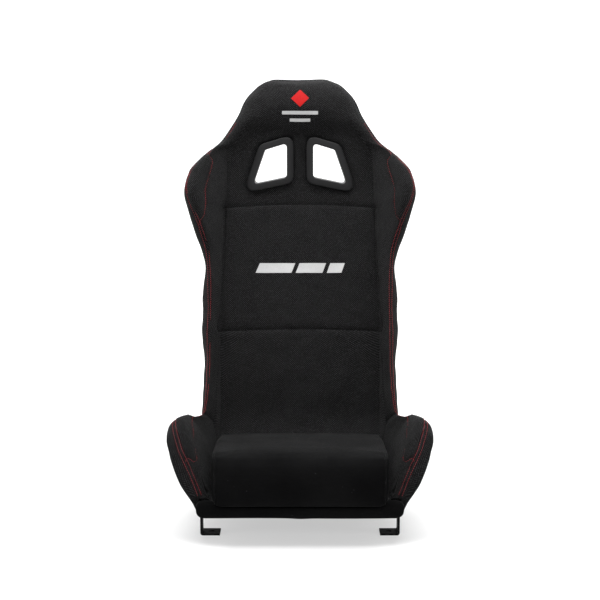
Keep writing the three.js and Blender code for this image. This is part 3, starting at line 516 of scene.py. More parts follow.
# ---------------------------------------------------------------- materials
class Shader:
    """A Principled material, and short ways to add the nodes that drive it."""

    def __init__(self, name, **settings):
        self.material = bpy.data.materials.new(name)
        self.material.use_nodes = True
        self.tree = self.material.node_tree
        self.surface = self.tree.nodes["Principled BSDF"]
        for socket, value in settings.items():
            self.surface.inputs[socket.replace("_", " ")].default_value = value

    def add(self, kind, inputs=(), **properties):
        node = self.tree.nodes.new(kind)
        for key, value in properties.items():
            setattr(node, key, value)
        for socket, value in dict(inputs).items():
            if isinstance(value, bpy.types.NodeSocket):
                self.tree.links.new(value, node.inputs[socket])
            else:
                node.inputs[socket].default_value = value
        return node

    def math(self, operation, a, b=0.0):
        return self.add("ShaderNodeMath", {0: a, 1: b}, operation=operation).outputs[0]

    def spread(self, value, low, high, to_low=0.0, to_high=1.0):
        sockets = {"Value": value, "From Min": low, "From Max": high, "To Min": to_low,
                   "To Max": to_high}
        return self.add("ShaderNodeMapRange", sockets, interpolation_type="SMOOTHSTEP").outputs[0]

    def noise(self, where, scale, detail=3.0):
        return self.add("ShaderNodeTexNoise", {"Vector": where, "Scale": scale, "Detail": detail}).outputs[0]

    def blend(self, share, a, b):
        node = self.add("ShaderNodeMix", {"Factor": share}, data_type="RGBA")
        for socket, colour in ((6, a), (7, b)):
            if isinstance(colour, bpy.types.NodeSocket):
                self.tree.links.new(colour, node.inputs[socket])
            else:
                node.inputs[socket].default_value = (*colour, 1)
        return node.outputs[2]

    def object_place(self):
        return self.add("ShaderNodeTexCoord").outputs["Object"]

    def drive(self, socket, value):
        self.tree.links.new(value, self.surface.inputs[socket])

    def bump(self, height, distance, strength=1.0):
        sockets = {"Height": height, "Distance": distance, "Strength": strength}
        self.drive("Normal", self.add("ShaderNodeBump", sockets).outputs[0])


def mesh_fabric():
    """Black spacer mesh: staggered open cells in a knitted face, in rows 2.5 mm apart."""
    pitch = 0.0050
    shade = Shader("mesh_fabric", Roughness=0.82, Sheen_Weight=0.022, Sheen_Roughness=0.35,
                   Specular_IOR_Level=0.04)
    at = shade.add("ShaderNodeUVMap", uv_map="cloth").outputs[0]
    place_of = shade.object_place()
    wobble = shade.noise(place_of, 60.0, 2.0)
    split = shade.add("ShaderNodeSeparateXYZ", {0: at})
    turns = [shade.math("MULTIPLY", split.outputs[i], 2 * math.pi / pitch) for i in (0, 1)]
    turns = [shade.math("ADD", turn, shade.math("MULTIPLY", wobble, 0.6)) for turn in turns]
    cells = shade.math("MULTIPLY", shade.math("COSINE", turns[0]), shade.math("COSINE", turns[1]))
    hole = shade.spread(cells, -0.3, 0.3)
    yarn = shade.math("SINE", shade.math("MULTIPLY", split.outputs[0], 2 * math.pi / 0.0006))
    fuzz = shade.noise(place_of, 900.0, 2.0)
    patchy = shade.spread(shade.noise(place_of, 14.0, 4.0), 0.3, 0.7)
    face = shade.blend(patchy, (0.0102, 0.0102, 0.0103), (0.0146, 0.0146, 0.0147))
    flecks = shade.spread(shade.noise(place_of, 420.0, 2.0), 0.42, 0.64)
    face = shade.blend(flecks, face, (0.030, 0.030, 0.031))
    shade.drive("Base Color", shade.blend(hole, face, (0.0006, 0.0006, 0.0006)))
    height = shade.math("SUBTRACT", shade.math("MULTIPLY", yarn, 0.10), hole)
    height = shade.math("ADD", height, shade.math("MULTIPLY", fuzz, 0.35))
    shade.drive("Roughness", shade.spread(hole, 0.0, 1.0, 0.74, 0.98))
    shade.bump(height, 0.0009)
    return shade.material


def plain_mesh():
    """The finer knit on the rear cover."""
    shade = Shader("rear_fabric", Roughness=0.85, Sheen_Weight=0.06, Sheen_Roughness=0.5,
                   Specular_IOR_Level=0.2)
    place_of = shade.object_place()
    split = shade.add("ShaderNodeSeparateXYZ", {0: place_of})
    waves = [shade.math("SINE", shade.math("MULTIPLY", split.outputs[i], 2 * math.pi / 0.0018))
             for i in (0, 2)]
    knit = shade.math("MULTIPLY", waves[0], waves[1])
    fuzz = shade.noise(place_of, 1100.0, 2.0)
    patchy = shade.spread(shade.noise(place_of, 11.0, 4.0), 0.3, 0.7)
    face = shade.blend(patchy, (0.009, 0.009, 0.0095), (0.015, 0.015, 0.016))
    shade.drive("Base Color", shade.blend(shade.spread(knit, 0.1, 0.8), face, (0.006, 0.006, 0.006)))
    shade.bump(shade.math("ADD", knit, fuzz), 0.0003)
    return shade.material


def velour():
    """The cushion's short, dense pile: brushed patches, fine grain and a few lint specks."""
    shade = Shader("velour", Sheen_Weight=0.06, Sheen_Roughness=0.3, Specular_IOR_Level=0.03)
    place_of = shade.object_place()
    nap = shade.spread(shade.noise(place_of, 9.0, 5.0), 0.3, 0.72)
    grain = shade.noise(place_of, 1400.0, 2.0)
    base = shade.blend(nap, (0.0018, 0.0018, 0.0019), (0.0034, 0.0034, 0.0035))
    base = shade.blend(shade.spread(grain, 0.35, 0.75, 0.0, 0.45), base, (0.007, 0.007, 0.0073))
    specks = shade.add("ShaderNodeTexVoronoi", {"Vector": place_of, "Scale": 110.0})
    lint = shade.spread(specks.outputs["Distance"], 0.05, 0.09, 1.0, 0.0)
    rare = shade.spread(shade.noise(place_of, 70.0, 1.0), 0.62, 0.66)
    shade.drive("Base Color", shade.blend(shade.math("MULTIPLY", lint, rare), base, (0.05, 0.05, 0.052)))
    shade.drive("Roughness", shade.spread(nap, 0.0, 1.0, 0.95, 0.8))
    shade.bump(grain, 0.0004, 0.6)
    return shade.material


def thread(name, colour, highlight):
    """Twisted sewing thread."""
    shade = Shader(name, Roughness=0.6, Sheen_Weight=0.05, Specular_IOR_Level=0.15)
    place_of = shade.object_place()
    fibre = shade.noise(place_of, 2500.0, 2.0)
    shade.drive("Base Color", shade.blend(shade.spread(fibre, 0.3, 0.7), colour, highlight))
    shade.bump(fibre, 0.0002)
    return shade.material


def moulded_plastic():
    """Satin black moulding with a fine grain, rubbed slightly smoother in patches."""
    shade = Shader("moulded_plastic", Specular_IOR_Level=0.18)
    place_of = shade.object_place()
    grain = shade.noise(place_of, 1300.0, 3.0)
    patchy = shade.noise(place_of, 18.0, 4.0)
    shade.drive("Base Color", shade.blend(patchy, (0.0035, 0.0035, 0.0038), (0.006, 0.006, 0.0064)))
    shade.drive("Roughness", shade.spread(patchy, 0.3, 0.7, 0.42, 0.52))
    shade.bump(grain, 0.00008, 0.4)
    return shade.material


def powder_coat(name, colour, rough):
    """Powder-coated steel: orange peel, and paler in patches where it has rubbed."""
    shade = Shader(name, Specular_IOR_Level=0.08)
    place_of = shade.object_place()
    peel = shade.noise(place_of, 420.0, 2.0)
    rub = shade.spread(shade.noise(place_of, 45.0, 5.0), 0.55, 0.8)
    paler = tuple(2.2 * part for part in colour)
    shade.drive("Base Color", shade.blend(rub, colour, paler))
    shade.drive("Roughness", shade.spread(peel, 0.3, 0.7, rough - 0.06, rough + 0.08))
    shade.bump(peel, 0.00025, 0.5)
    return shade.material


def zinc_plate():
    """Zinc-plated fasteners, with faint turning marks and duller patches."""
    shade = Shader("zinc_plate", Metallic=1.0)
    place_of = shade.object_place()
    dull = shade.noise(place_of, 160.0, 4.0)
    marks = shade.noise(place_of, 2600.0, 1.0)
    shade.drive("Base Color", shade.blend(dull, (0.42, 0.43, 0.44), (0.62, 0.62, 0.60)))
    shade.drive("Roughness", shade.spread(dull, 0.3, 0.7, 0.28, 0.48))
    shade.bump(marks, 0.0001, 0.4)
    return shade.material


def woven_webbing():
    """Black woven tape: ribs across it and a finer twill along it."""
    shade = Shader("woven_webbing", Roughness=0.8, Sheen_Weight=0.2, Specular_IOR_Level=0.3)
    place_of = shade.object_place()
    split = shade.add("ShaderNodeSeparateXYZ", {0: place_of})
    ribs = shade.math("SINE", shade.math("MULTIPLY", split.outputs[0], 2 * math.pi / 0.0016))
    twill = shade.math("ADD", split.outputs[1], split.outputs[2])
    twill = shade.math("SINE", shade.math("MULTIPLY", twill, 2 * math.pi / 0.0012))
    weave = shade.math("MULTIPLY", ribs, twill)
    shade.drive("Base Color", shade.blend(shade.spread(weave, -0.6, 0.6), (0.006, 0.006, 0.006),
                                          (0.022, 0.022, 0.023)))
    shade.bump(weave, 0.0004)
    return shade.material


def print_film(name, colour, lighter):
    """A flat transfer print pressed into the fabric, slightly broken by the weave."""
    shade = Shader(name, Roughness=0.7, Specular_IOR_Level=0.1)
    place_of = shade.object_place()
    grain = shade.noise(place_of, 800.0, 3.0)
    shade.drive("Base Color", shade.blend(shade.spread(grain, 0.3, 0.7), colour, lighter))
    shade.bump(grain, 0.0003)
    return shade.material


FABRIC = mesh_fabric()
REAR_FABRIC = plain_mesh()
VELOUR = velour()
RED_THREAD = thread("red_thread", (0.23, 0.010, 0.015), (0.36, 0.032, 0.040))
PLASTIC = moulded_plastic()
BRACKET_PAINT = powder_coat("bracket_paint", (0.004, 0.004, 0.0042), 0.7)
FRAME_PAINT = powder_coat("frame_paint", (0.018, 0.018, 0.019), 0.5)
ZINC = zinc_plate()
WEBBING = woven_webbing()
RED_PRINT = print_film("red_print", (0.24, 0.003, 0.003), (0.29, 0.005, 0.005))
PALE_PRINT = print_film("pale_print", (0.33, 0.33, 0.33), (0.39, 0.39, 0.39))


def finished(made, material, body="seat", replaces=()):
    """The last steps that every piece shares."""
    made.data.materials.clear()
    made.data.materials.append(material)
    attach(made, body)
    if replaces:
        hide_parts(*replaces)
    return made


# ---------------------------------------------------------------- sewn covers
SIDES = (("right", False), ("left", True))


def front_cover():
    """The head and both bolsters' fronts, one cloth round the back panels' opening."""
    across = join_lists(columns_between(0, 1, 4, [950, 1040], ends=0.4),
                        columns_between(1, 2, 3.2, [500, 900, 1060], ends=0.5))
    columns = np.concatenate([-across[:0:-1], across])
    rows = join_lists(rows_between(LEG_END, SEAM_HIGH, 3.8, [1, 1.6, 2]),
                      rows_between(SEAM_HIGH, TOP, 3.6, [0, 1.6, 2], ends=0.3),
                      rows_between(TOP, TOP + ROLL, 2.4, [0, 1], ends=0))
    row, column, front, _ = cloth_grid(rows, columns)
    panels = (np.abs(cell_middles(column)) < 1) & (cell_middles(row) < SEAM_HIGH)
    holes = (slot_distance(cell_middles(front)) < 8) & (cell_middles(row) > SEAM_HIGH)
    uv = arc_lengths(front, len(across) - 1, int(np.searchsorted(rows, SEAM_HIGH)))
    made = shell("front_cover", front, foam_back(row, column), uv, ~panels & ~holes)
    return finished(made, FABRIC,
                    replaces=("head_pad", "back_bolster_right", "back_bolster_left"))


def panel(name, first, last, node, step=3.6):
    """A flat insert between two cross seams."""
    across = columns_between(0, 1, step, [(first + last) / 2], ends=0.4)
    columns = np.concatenate([-across[:0:-1], across])
    rows = rows_between(first, last, step, [0, 1])
    row, column, front, _ = cloth_grid(rows, columns)
    uv = arc_lengths(front, len(across) - 1, 0)
    made = shell(name, front, foam_back(row, column), uv)
    return finished(made, FABRIC, replaces=(node,))


def leg_cover(side, flip):
    """The front and top of a leg bolster, with its puffed pad."""
    rows = join_lists(rows_between(0, 24, 3.0, [1.2, 1.6, 2], ends=0.1),
                      rows_between(24, LEG_END, 2.8, [1.6, 2], ends=0.3))
    columns = columns_between(1, 2, 2.6, [100, 250], ends=0.5)
    row, column, front, _ = cloth_grid(rows, columns)
    uv = arc_lengths(front, 0, len(rows) - 1)
    made = shell(f"leg_cover_{side}", front, foam_back(row, column), uv, flip=flip)
    return finished(made, FABRIC, replaces=(f"leg_bolster_{side}",))


SIDE_THICKNESS = 3.2
FLAP = 16
FLAP_DEPTHS = (1.5, 4.5)  # of the flap's two faces behind the front of the base
FOOT_FLARE = 4.5


def side_cover(side, flip):
    """The outer side of the seat, from the topstitched edge seam to the hem, with a flap turned in
    across the front of the base."""
    rows = join_lists(rows_between(0, 24, 3.0, [2, 2.5], ends=0.1),
                      rows_between(24, TOP, 4.2, [2, 2.5], ends=0.2))
    columns = columns_between(2, 3, 3.6, [100, 500, 900], ends=0.5)
    row, column, front, out = cloth_grid(rows, columns)
    front[..., 0] += FOOT_FLARE * (1 - fade(row, 6, 42)) * fade(column, 2.0, 2.35)
    back = front - SIDE_THICKNESS * out
    flaps = [front[:1] + [[[-FLAP, depth, 0]]] for depth in FLAP_DEPTHS]
    front, back = np.concatenate([flaps[0], front]), np.concatenate([flaps[1], back])
    uv = arc_lengths(front, 0, int(np.searchsorted(rows, LEG_END)))
    made = shell(f"side_cover_{side}", front, back, uv, flip=flip)
    return finished(made, FABRIC)


REAR_LOW = 292
ZIP_LOW = (405, 440)  # the zip's dip fades in and out over these stations
ZIP_HIGH = (845, 875)
REAR_THICKNESS = 3


def rear_panel(name, first, last, node, step=5.0):
    """A stretched rear cover: crowned between its hems, drawn in at the zip and round the slots."""
    rows = np.linspace(first, last, int((last - first) / step) + 1)
    across = np.linspace(0, 1, 48) ** 0.8
    columns = np.concatenate([-across[:0:-1], across])
    s, u = np.meshgrid(rows, columns, indexing="ij")
    half = np.where(s < 350, WALL_X - 4, hem_x(s) - 1.2 - 3 * fade(s, TOP - 24, TOP))
    depth = through([(REAR_LOW, COVER_BACK), (1150, COVER_BACK), (1170, -49), (TOP - 5, -45)])(s)
    flat = place(s, u * half, depth)
    from_hem = (1 - np.abs(u)) * half
    from_end = np.minimum(s - first, last - s)
    crown = 5.5 * (1 - np.exp(-from_hem / 26)) * (1 - np.exp(-from_end / 18))
    crown = crown * fade(slot_distance(flat), SLOT_RIM + 2, SLOT_RIM + 30) ** (s > SEAM_HIGH)
    pulled = 2.5 * np.exp(-from_hem / 4) + 2.0 * np.exp(-from_end / 4)
    zip_x = np.abs(u * half) - 12
    zip_dip = 5.5 * (1 - fade(zip_x, 0, 16)) * fade(s, *ZIP_LOW) * (1 - fade(s, *ZIP_HIGH))
    bulge = np.maximum(crown - zip_dip, 0) - pulled + 0.5 * ripple(flat, 70, 11)
    bulge = np.where(slot_distance(flat) < SLOT_RIM + 2, np.minimum(bulge, 0), bulge)
    out = -normals(flat)
    back = flat + out * bulge[..., None]
    keep = ~((slot_distance(cell_middles(flat)) < 8) & (cell_middles(s) > SEAM_HIGH))
    uv = np.stack([u * half, s], -1)
    made = shell(name, back - out * REAR_THICKNESS, back, uv, keep)
    area = float(np.linalg.norm(np.cross(np.diff(back, axis=0)[:, :-1], np.diff(back, axis=1)[:-1]),
                                axis=-1)[keep].sum()) * MM ** 2
    flat_size = (2 * float(half.max()) * MM, (last - first) * MM)
    finished(made, REAR_FABRIC, replaces=(node,))
    return made, flat_size, area


front = front_cover()
upper_panel = panel("upper_back_panel", SEAM_LOW, SEAM_HIGH, "upper_back_pad")
lower_panel = panel("lower_back_panel", BASE_END, SEAM_LOW, "lower_back_pad")
base_cover = panel("base_cover", 2, BASE_END, "base_pad", step=6)
legs = [leg_cover(side, flip) for side, flip in SIDES]
sides = [side_cover(side, flip) for side, flip in SIDES]
for name, first, last, node in (("rear_cover_panel", REAR_LOW, SEAM_HIGH, "rear_cover"),
                                ("rear_head_panel", SEAM_HIGH, TOP - 5, "rear_head_cover")):
    made, flat_size, area = rear_panel(name, first, last, node)


# ---------------------------------------------------------------- harness-slot bezels
def bezel(name, profile, side, node):
    """A moulded ring: its (grow, n) profile swept round the slot's outline."""
    rings = []
    for grow, n in profile:
        outline = slot_outline(grow, 9 + 0.9 * grow)
        rings.append(slot_plane(outline[:, 0], outline[:, 1], n))
    rings = np.array(rings)
    if side == "left":
        rings = rings * [-1, 1, 1]
    count, around = rings.shape[:2]
    ring, spoke = np.meshgrid(np.arange(count), np.arange(around), indexing="ij")
    after, onward = (ring + 1) % count, (spoke + 1) % around
    faces = np.stack([ring * around + spoke, ring * around + onward, after * around + onward,
                      after * around + spoke], -1).reshape(-1, 4)
    made = mesh_object(name, rings.reshape(-1, 3), faces, crease=50)
    outward_faces(made)
    return finished(made, PLASTIC, replaces=(node,))


def outward_faces(made):
    """Turns a closed mesh's faces outwards."""
    work = bmesh.new()
    work.from_mesh(made.data)
    bmesh.ops.recalc_face_normals(work, faces=work.faces)
    work.to_mesh(made.data)
    work.free()


def crowned(low, high, inner, outer_edge, lip=1.6):
    """The flange's visible face: rolled edges and a slight crown between them."""
    turn = np.linspace(0, math.pi / 2, 5)
    rolled_in = [(inner + lip * (1 - math.sin(a)), high - lip * (1 - math.cos(a))) for a in turn[::-1]]
    rolled_out = [(outer_edge - 2.4 * (1 - math.sin(a)), high - 1.2 - 2.4 * (1 - math.cos(a)))
                  for a in turn]
    crown = [(inner + lip + (outer_edge - inner - lip - 2.4) * u, high + 0.5 * math.sin(math.pi * u)
              - 1.2 * u) for u in np.linspace(0.15, 0.85, 5)]
    return [*rolled_in, *crown, *rolled_out, (outer_edge, low + 0.4), (outer_edge - 0.6, low)]


face_n = FLANGE_LIFT + FLANGE_T
front_profile = [(0.3, SLOT_SPLIT), (0.1, 0.0), *crowned(FLANGE_LIFT, face_n, 0, SLOT_RIM),
                 (SLOT_WALL + 2, FLANGE_LIFT), (SLOT_WALL, FLANGE_LIFT - 2), (SLOT_WALL, SLOT_SPLIT)]
rear_profile = [(grow, BEZEL_BACK + FLANGE_LIFT - n) for grow, n in front_profile[1:-1]]
rear_profile = [(0.3, SLOT_SPLIT - 0.4), *rear_profile, (SLOT_WALL, SLOT_SPLIT - 0.4)]
for side, flip in SIDES:
    bezel(f"slot_bezel_{side}", front_profile, side, f"front_bezel_{side}")
    bezel(f"slot_back_bezel_{side}", rear_profile, side, f"rear_bezel_{side}")


# ---------------------------------------------------------------- thread, piping and prints
bpy.context.view_layer.update()


def tree_of(*objects):
    """One search tree over the outer faces of several pieces."""
    points, faces = [], []
    for o in objects:
        first = len(points)
        points.extend(v.co.copy() for v in o.data.vertices)
        faces.extend([first + i for i in p.vertices] for p in o.data.polygons)
    return BVHTree.FromPolygons(points, faces)


CLOTH = tree_of(front, upper_panel, lower_panel, *legs, *sides)


def on_cloth(points, out, lift=0.0, reach=22):
    """Points moved along their normals onto the finished cloth, then lifted off it."""
    landed = []
    for p, n in zip(points, out):
        direction = Vector(n)
        hit = CLOTH.ray_cast(Vector(p * MM) + direction * reach * MM, -direction, 2 * reach * MM)[0]
        landed.append(np.array(hit) / MM + n * lift if hit is not None else p + n * lift)
    return np.array(landed)


def direction_out(row, column):
    """Outward normals at places on the cloth."""
    d_row = outer(row + 0.5, column) - outer(row - 0.5, column)
    d_column = outer(row, column + 0.01) - outer(row, column - 0.01)
    n = np.cross(d_column, d_row)
    return n / np.linalg.norm(n, axis=-1, keepdims=True)


def resampled(row, column, pitch):
    """Places along a line on the cloth, an equal distance apart."""
    points = outer(row, column)
    length = np.concatenate([[0], np.cumsum(np.linalg.norm(np.diff(points, axis=0), axis=-1))])
    at = np.arange(0, length[-1], pitch)
    return np.interp(at, length, row), np.interp(at, length, column)


def beside(row, column, offset):
    """A line on the cloth moved sideways by a distance, square to its own direction."""
    d_row = outer(row + 0.5, column) - outer(row - 0.5, column)
    d_column = (outer(row, column + 0.01) - outer(row, column - 0.01)) / 0.02
    along = np.gradient(outer(row, column), axis=0)
    sideways = np.cross(along, np.cross(d_column, d_row))
    sideways *= offset / np.linalg.norm(sideways, axis=-1, keepdims=True)
    rr, rc, cc = (np.sum(a * b, -1) for a, b in ((d_row, d_row), (d_row, d_column), (d_column, d_column)))
    pr, pc = np.sum(sideways * d_row, -1), np.sum(sideways * d_column, -1)
    area = rr * cc - rc * rc
    return np.maximum(row + (pr * cc - pc * rc) / area, 0.5), column + (rr * pc - rc * pr) / area


STITCH = 4.6
STITCH_R = 0.36
STITCH_SIDES = 6
STITCH_STEPS = 5  # one pitch, of which a stitch takes the first few steps and a gap the rest
STITCH_DRAWN = 3


def stitch_row(row, column, pitch=STITCH):
    """Start and end of every stitch along a line, lying on the cloth, with their normals."""
    row, column = resampled(row, column, pitch / STITCH_STEPS)
    out = direction_out(row, column)
    points = on_cloth(outer(row, column), out)
    starts = np.arange(0, len(points) - STITCH_STEPS, STITCH_STEPS)
    return [(points[i], points[i + STITCH_DRAWN], out[i]) for i in starts]


def stitches(name, runs, flip, material, radius=STITCH_R):
    """One object of short arched threads whose ends go down into the cloth."""
    points, faces = [], []
    arch = [(-0.06, -0.5), (0.12, 0.35), (0.5, 0.7), (0.88, 0.35), (1.06, -0.5)]
    thickness = [0.5, 0.9, 1.0, 0.9, 0.5]
    for start, end, out in runs:
        along = (end - start) / max(np.linalg.norm(end - start), 1e-6)
        across = np.cross(along, out)
        first = len(points)
        for (t, lift), thick in zip(arch, thickness):
            centre = start + t * (end - start) + lift * radius * out
            for k in range(STITCH_SIDES):
                a = 2 * math.pi * k / STITCH_SIDES
                ring = math.cos(a) * across + math.sin(a) * out
                points.append(centre + radius * thick * ring)
        for i in range(len(arch) - 1):
            for k in range(STITCH_SIDES):
                a, b = first + i * STITCH_SIDES + k, first + i * STITCH_SIDES + (k + 1) % STITCH_SIDES
                faces.append([a, b, b + STITCH_SIDES, a + STITCH_SIDES])
        faces.append([first + k for k in range(STITCH_SIDES)])
        last = first + (len(arch) - 1) * STITCH_SIDES
        faces.append([last + k for k in reversed(range(STITCH_SIDES))])
    points = np.array(points) * ([-1, 1, 1] if flip else [1, 1, 1])
    mesh = bpy.data.meshes.new(name)
    mesh.from_pydata(points * MM, [], faces)
    mesh.polygons.foreach_set("use_smooth", np.ones(len(mesh.polygons), bool))
    made = bpy.data.objects.new(name, mesh)
    bpy.context.scene.collection.objects.link(made)
    outward_faces(made)
    return finished(made, material)


ROW_GAP = 3.7
double_rows = np.concatenate([np.arange(1.5, 24, 0.5), np.arange(24, 1000, 2.0)])
single_rows = np.arange(1000, 1090, 2.0)
edge_runs = []
for offset in (-ROW_GAP, ROW_GAP):
    edge_runs += stitch_row(*beside(double_rows, np.full(len(double_rows), 2.0), offset))
edge_runs += stitch_row(*beside(single_rows, np.full(len(single_rows), 2.0), -ROW_GAP))
pad_runs = stitch_row(wing_rows[4:], column_of(wing_rows, wing_v(wing_rows))[4:])
leg_runs = stitch_row(leg_rows, column_of(leg_rows, leg_v(leg_rows)))
for side, flip in SIDES:
    stitches(f"edge_stitching_{side}", edge_runs, flip, RED_THREAD)
    stitches(f"wing_stitching_{side}", pad_runs, flip, RED_THREAD)
    stitches(f"leg_stitching_{side}", leg_runs, flip, RED_THREAD)


def transfer(name, corners, material, cells=(28, 8), thickness=0.5):
    """A printed shape with four (x, station) corners, lying on the front cloth."""
    a, b, c, d = (np.array(corner, float) for corner in corners)
    u, w = np.meshgrid(np.linspace(0, 1, cells[0] + 1), np.linspace(0, 1, cells[1] + 1))
    u, w = u[..., None], w[..., None]
    at = (1 - w) * ((1 - u) * a + u * b) + w * ((1 - u) * d + u * c)
    s = at[..., 1]
    column = at[..., 0] / root_x(s)
    row = s - sum(np.clip(1 - np.abs(s - r) / 70, 0, 1) * bow * (0.5 - column ** 2)
                  for r, bow in ((SEAM_LOW, 5), (SEAM_HIGH, 8)))
    out = direction_out(row, column)
    points = on_cloth(outer(row, column).reshape(-1, 3), out.reshape(-1, 3), 0.35).reshape(s.shape + (3,))
    made = shell(name, points, points - thickness * out, at)
    return finished(made, material)


EMBLEM_S = 1137
EMBLEM_HALF = 21
STRIPE_LOW = 727
STRIPE_HIGH = 750
STRIPE_ENDS = ((-103, -20), (-10, 52), (62, 96))
SLANT = 9


def rhombus(middle, half):
    """Corners of a square standing on its corner."""
    return [(0, middle - half), (half, middle), (0, middle + half), (-half, middle)]


def bar(left, right, first, last, slant=0):
    """Corners of a bar between two stations, leaning right by its slant."""
    return [(left, first), (right, first), (right + slant, last), (left + slant, last)]


transfer("head_emblem", rhombus(EMBLEM_S, EMBLEM_HALF), RED_PRINT, cells=(16, 16))
transfer("head_bar_wide", bar(-42, 42, 1099, 1107), PALE_PRINT, (24, 4))
transfer("head_bar_short", bar(-24, 24, 1083, 1090), PALE_PRINT, (16, 4))
for number, (left, right) in enumerate(STRIPE_ENDS):
    transfer(f"back_stripe_{number + 1}", bar(left, right, STRIPE_LOW, STRIPE_HIGH, SLANT), PALE_PRINT)


# ---------------------------------------------------------------- seat cushion
CUSHION_SHRINK = 0.004
CUSHION_VOXEL = 0.005
CUSHION_CAP = 0.012
CUSHION_SAG = 0.0015
CUSHION_WIDEN = 1.045  # makes up for the shrinking, smoothing and rounding of the sides
CUSHION_OVERHANG = 0.06  # what hangs in front of the pan; the rest lies on it
SEWN_EDGE = 0.011
CORNER_START = 0.022  # the lower corners are rounded from this far inside the sides
CORNER_RUN = 0.018
CORNER_RISE = 0.012


def cushion_faces(made):
    """Positions and vertex normals of a mesh as arrays."""
    count = len(made.data.vertices)
    co, no = np.empty(3 * count), np.empty(3 * count)
    made.data.vertices.foreach_get("co", co)
    made.data.vertices.foreach_get("normal", no)
    return co.reshape(-1, 3), no.reshape(-1, 3)


def apply_modifiers(made):
    """Leaves the mesh as its modifiers make it at the current frame, with no modifier on it."""
    evaluated = made.evaluated_get(bpy.context.evaluated_depsgraph_get())
    mesh = bpy.data.meshes.new_from_object(evaluated)
    made.modifiers.clear()
    made.data = mesh


def cushion():
    """The loose cushion, inflated as cloth between its sewn side edges."""
    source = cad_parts["seat_cushion"]
    made = bpy.data.objects.new("cushion_cover", source.data.copy())
    bpy.context.scene.collection.objects.link(made)
    remesh = made.modifiers.new("voxels", "REMESH")
    remesh.mode = "VOXEL"
    remesh.voxel_size = CUSHION_VOXEL
    apply_modifiers(made)
    co, no = cushion_faces(made)
    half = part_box("seat_cushion")[1].x
    from_side = half - np.abs(co[:, 0])
    start = co - no * CUSHION_SHRINK
    made.data.vertices.foreach_set("co", start.ravel())
    made.data.update()
    pin = made.vertex_groups.new(name="sewn")
    steep = np.abs(no[:, 0])
    sewn = (from_side < SEWN_EDGE) & (steep > 0.2) & (steep < 0.93)
    for i in np.flatnonzero(sewn):
        pin.add([int(i)], 1.0, "REPLACE")
    cloth = made.modifiers.new("stuffing", "CLOTH")
    cloth.settings.quality = 6
    cloth.settings.mass = 0.3
    cloth.settings.tension_stiffness = 25
    cloth.settings.compression_stiffness = 25
    cloth.settings.shear_stiffness = 12
    cloth.settings.bending_stiffness = 2
    cloth.settings.use_pressure = True
    cloth.settings.uniform_pressure_force = 4
    cloth.settings.vertex_group_mass = "sewn"
    cloth.settings.effector_weights.gravity = 0
    scene = bpy.context.scene
    for frame_number in range(1, 21):
        scene.frame_set(frame_number)
    apply_modifiers(made)
    scene.frame_set(1)
    blown, _ = cushion_faces(made)
    moved = blown - start
    length = np.linalg.norm(moved, axis=1, keepdims=True)
    moved = moved * np.minimum(1, CUSHION_CAP / np.maximum(length, 1e-9))
    made.data.vertices.foreach_set("co", (start + moved).ravel())
    made.data.update()
    made.data.polygons.foreach_set("use_smooth", np.ones(len(made.data.polygons), bool))
    smooth = made.modifiers.new("smooth", "SMOOTH")
    smooth.factor = 0.5
    smooth.iterations = 4
    finer = made.modifiers.new("finer", "SUBSURF")
    finer.levels = finer.render_levels = 1
    apply_modifiers(made)
    return made


pad = cushion()
co, _ = cushion_faces(pad)
low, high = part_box("seat_cushion")
across, height = np.abs(co[:, 0]), (co[:, 2] - low.z) / (high.z - low.z)
taper = 1 - 0.022 * (1 - fade(height, 0.0, 0.55)) - 0.008 * fade(height, 0.6, 1.0)
across = across * CUSHION_WIDEN * taper
across = np.minimum(across, high.x - 0.001 * np.exp(-across / high.x))
co[:, 0] = np.sign(co[:, 0]) * across
corner = np.clip((across - high.x + CORNER_START) / CORNER_RUN, 0, 1)
co[:, 2] += CORNER_RISE * (1 - np.sqrt(1 - corner ** 2)) * (1 - fade(height, 0.0, 0.45))
on_pan = np.maximum(co[:, 2], PAN_Z * MM + 0.004)
co[:, 2] = np.where(co[:, 1] > low.y + CUSHION_OVERHANG, on_pan, co[:, 2])
co[:, 2] = np.maximum(co[:, 2], low.z - CUSHION_SAG)
pad.data.vertices.foreach_set("co", co.ravel())
pad.data.update()
finished(pad, VELOUR, body="cushion", replaces=("seat_cushion",))


def tube_along(name, points, radius, material, body, sides=8, closed=False):
    """A round cord of geometry along points in metres: piping, welts and welded tube."""
    curve = bpy.data.curves.new(name, "CURVE")
    curve.dimensions = "3D"
    spline = curve.splines.new("POLY")
    spline.points.add(len(points) - 1)
    for target, p in zip(spline.points, points):
        target.co = (*p, 1)
    spline.use_cyclic_u = closed
    curve.bevel_depth = radius
    curve.bevel_resolution = sides // 4
    curve.use_fill_caps = not closed
    holder = bpy.data.objects.new(name + "_path", curve)
    bpy.context.scene.collection.objects.link(holder)
    bpy.context.view_layer.update()
    mesh = bpy.data.meshes.new_from_object(holder.evaluated_get(bpy.context.evaluated_depsgraph_get()))
    bpy.data.objects.remove(holder)
    mesh.polygons.foreach_set("use_smooth", np.ones(len(mesh.polygons), bool))
    made = bpy.data.objects.new(name, mesh)
    bpy.context.scene.collection.objects.link(made)
    return finished(made, material, body=body)


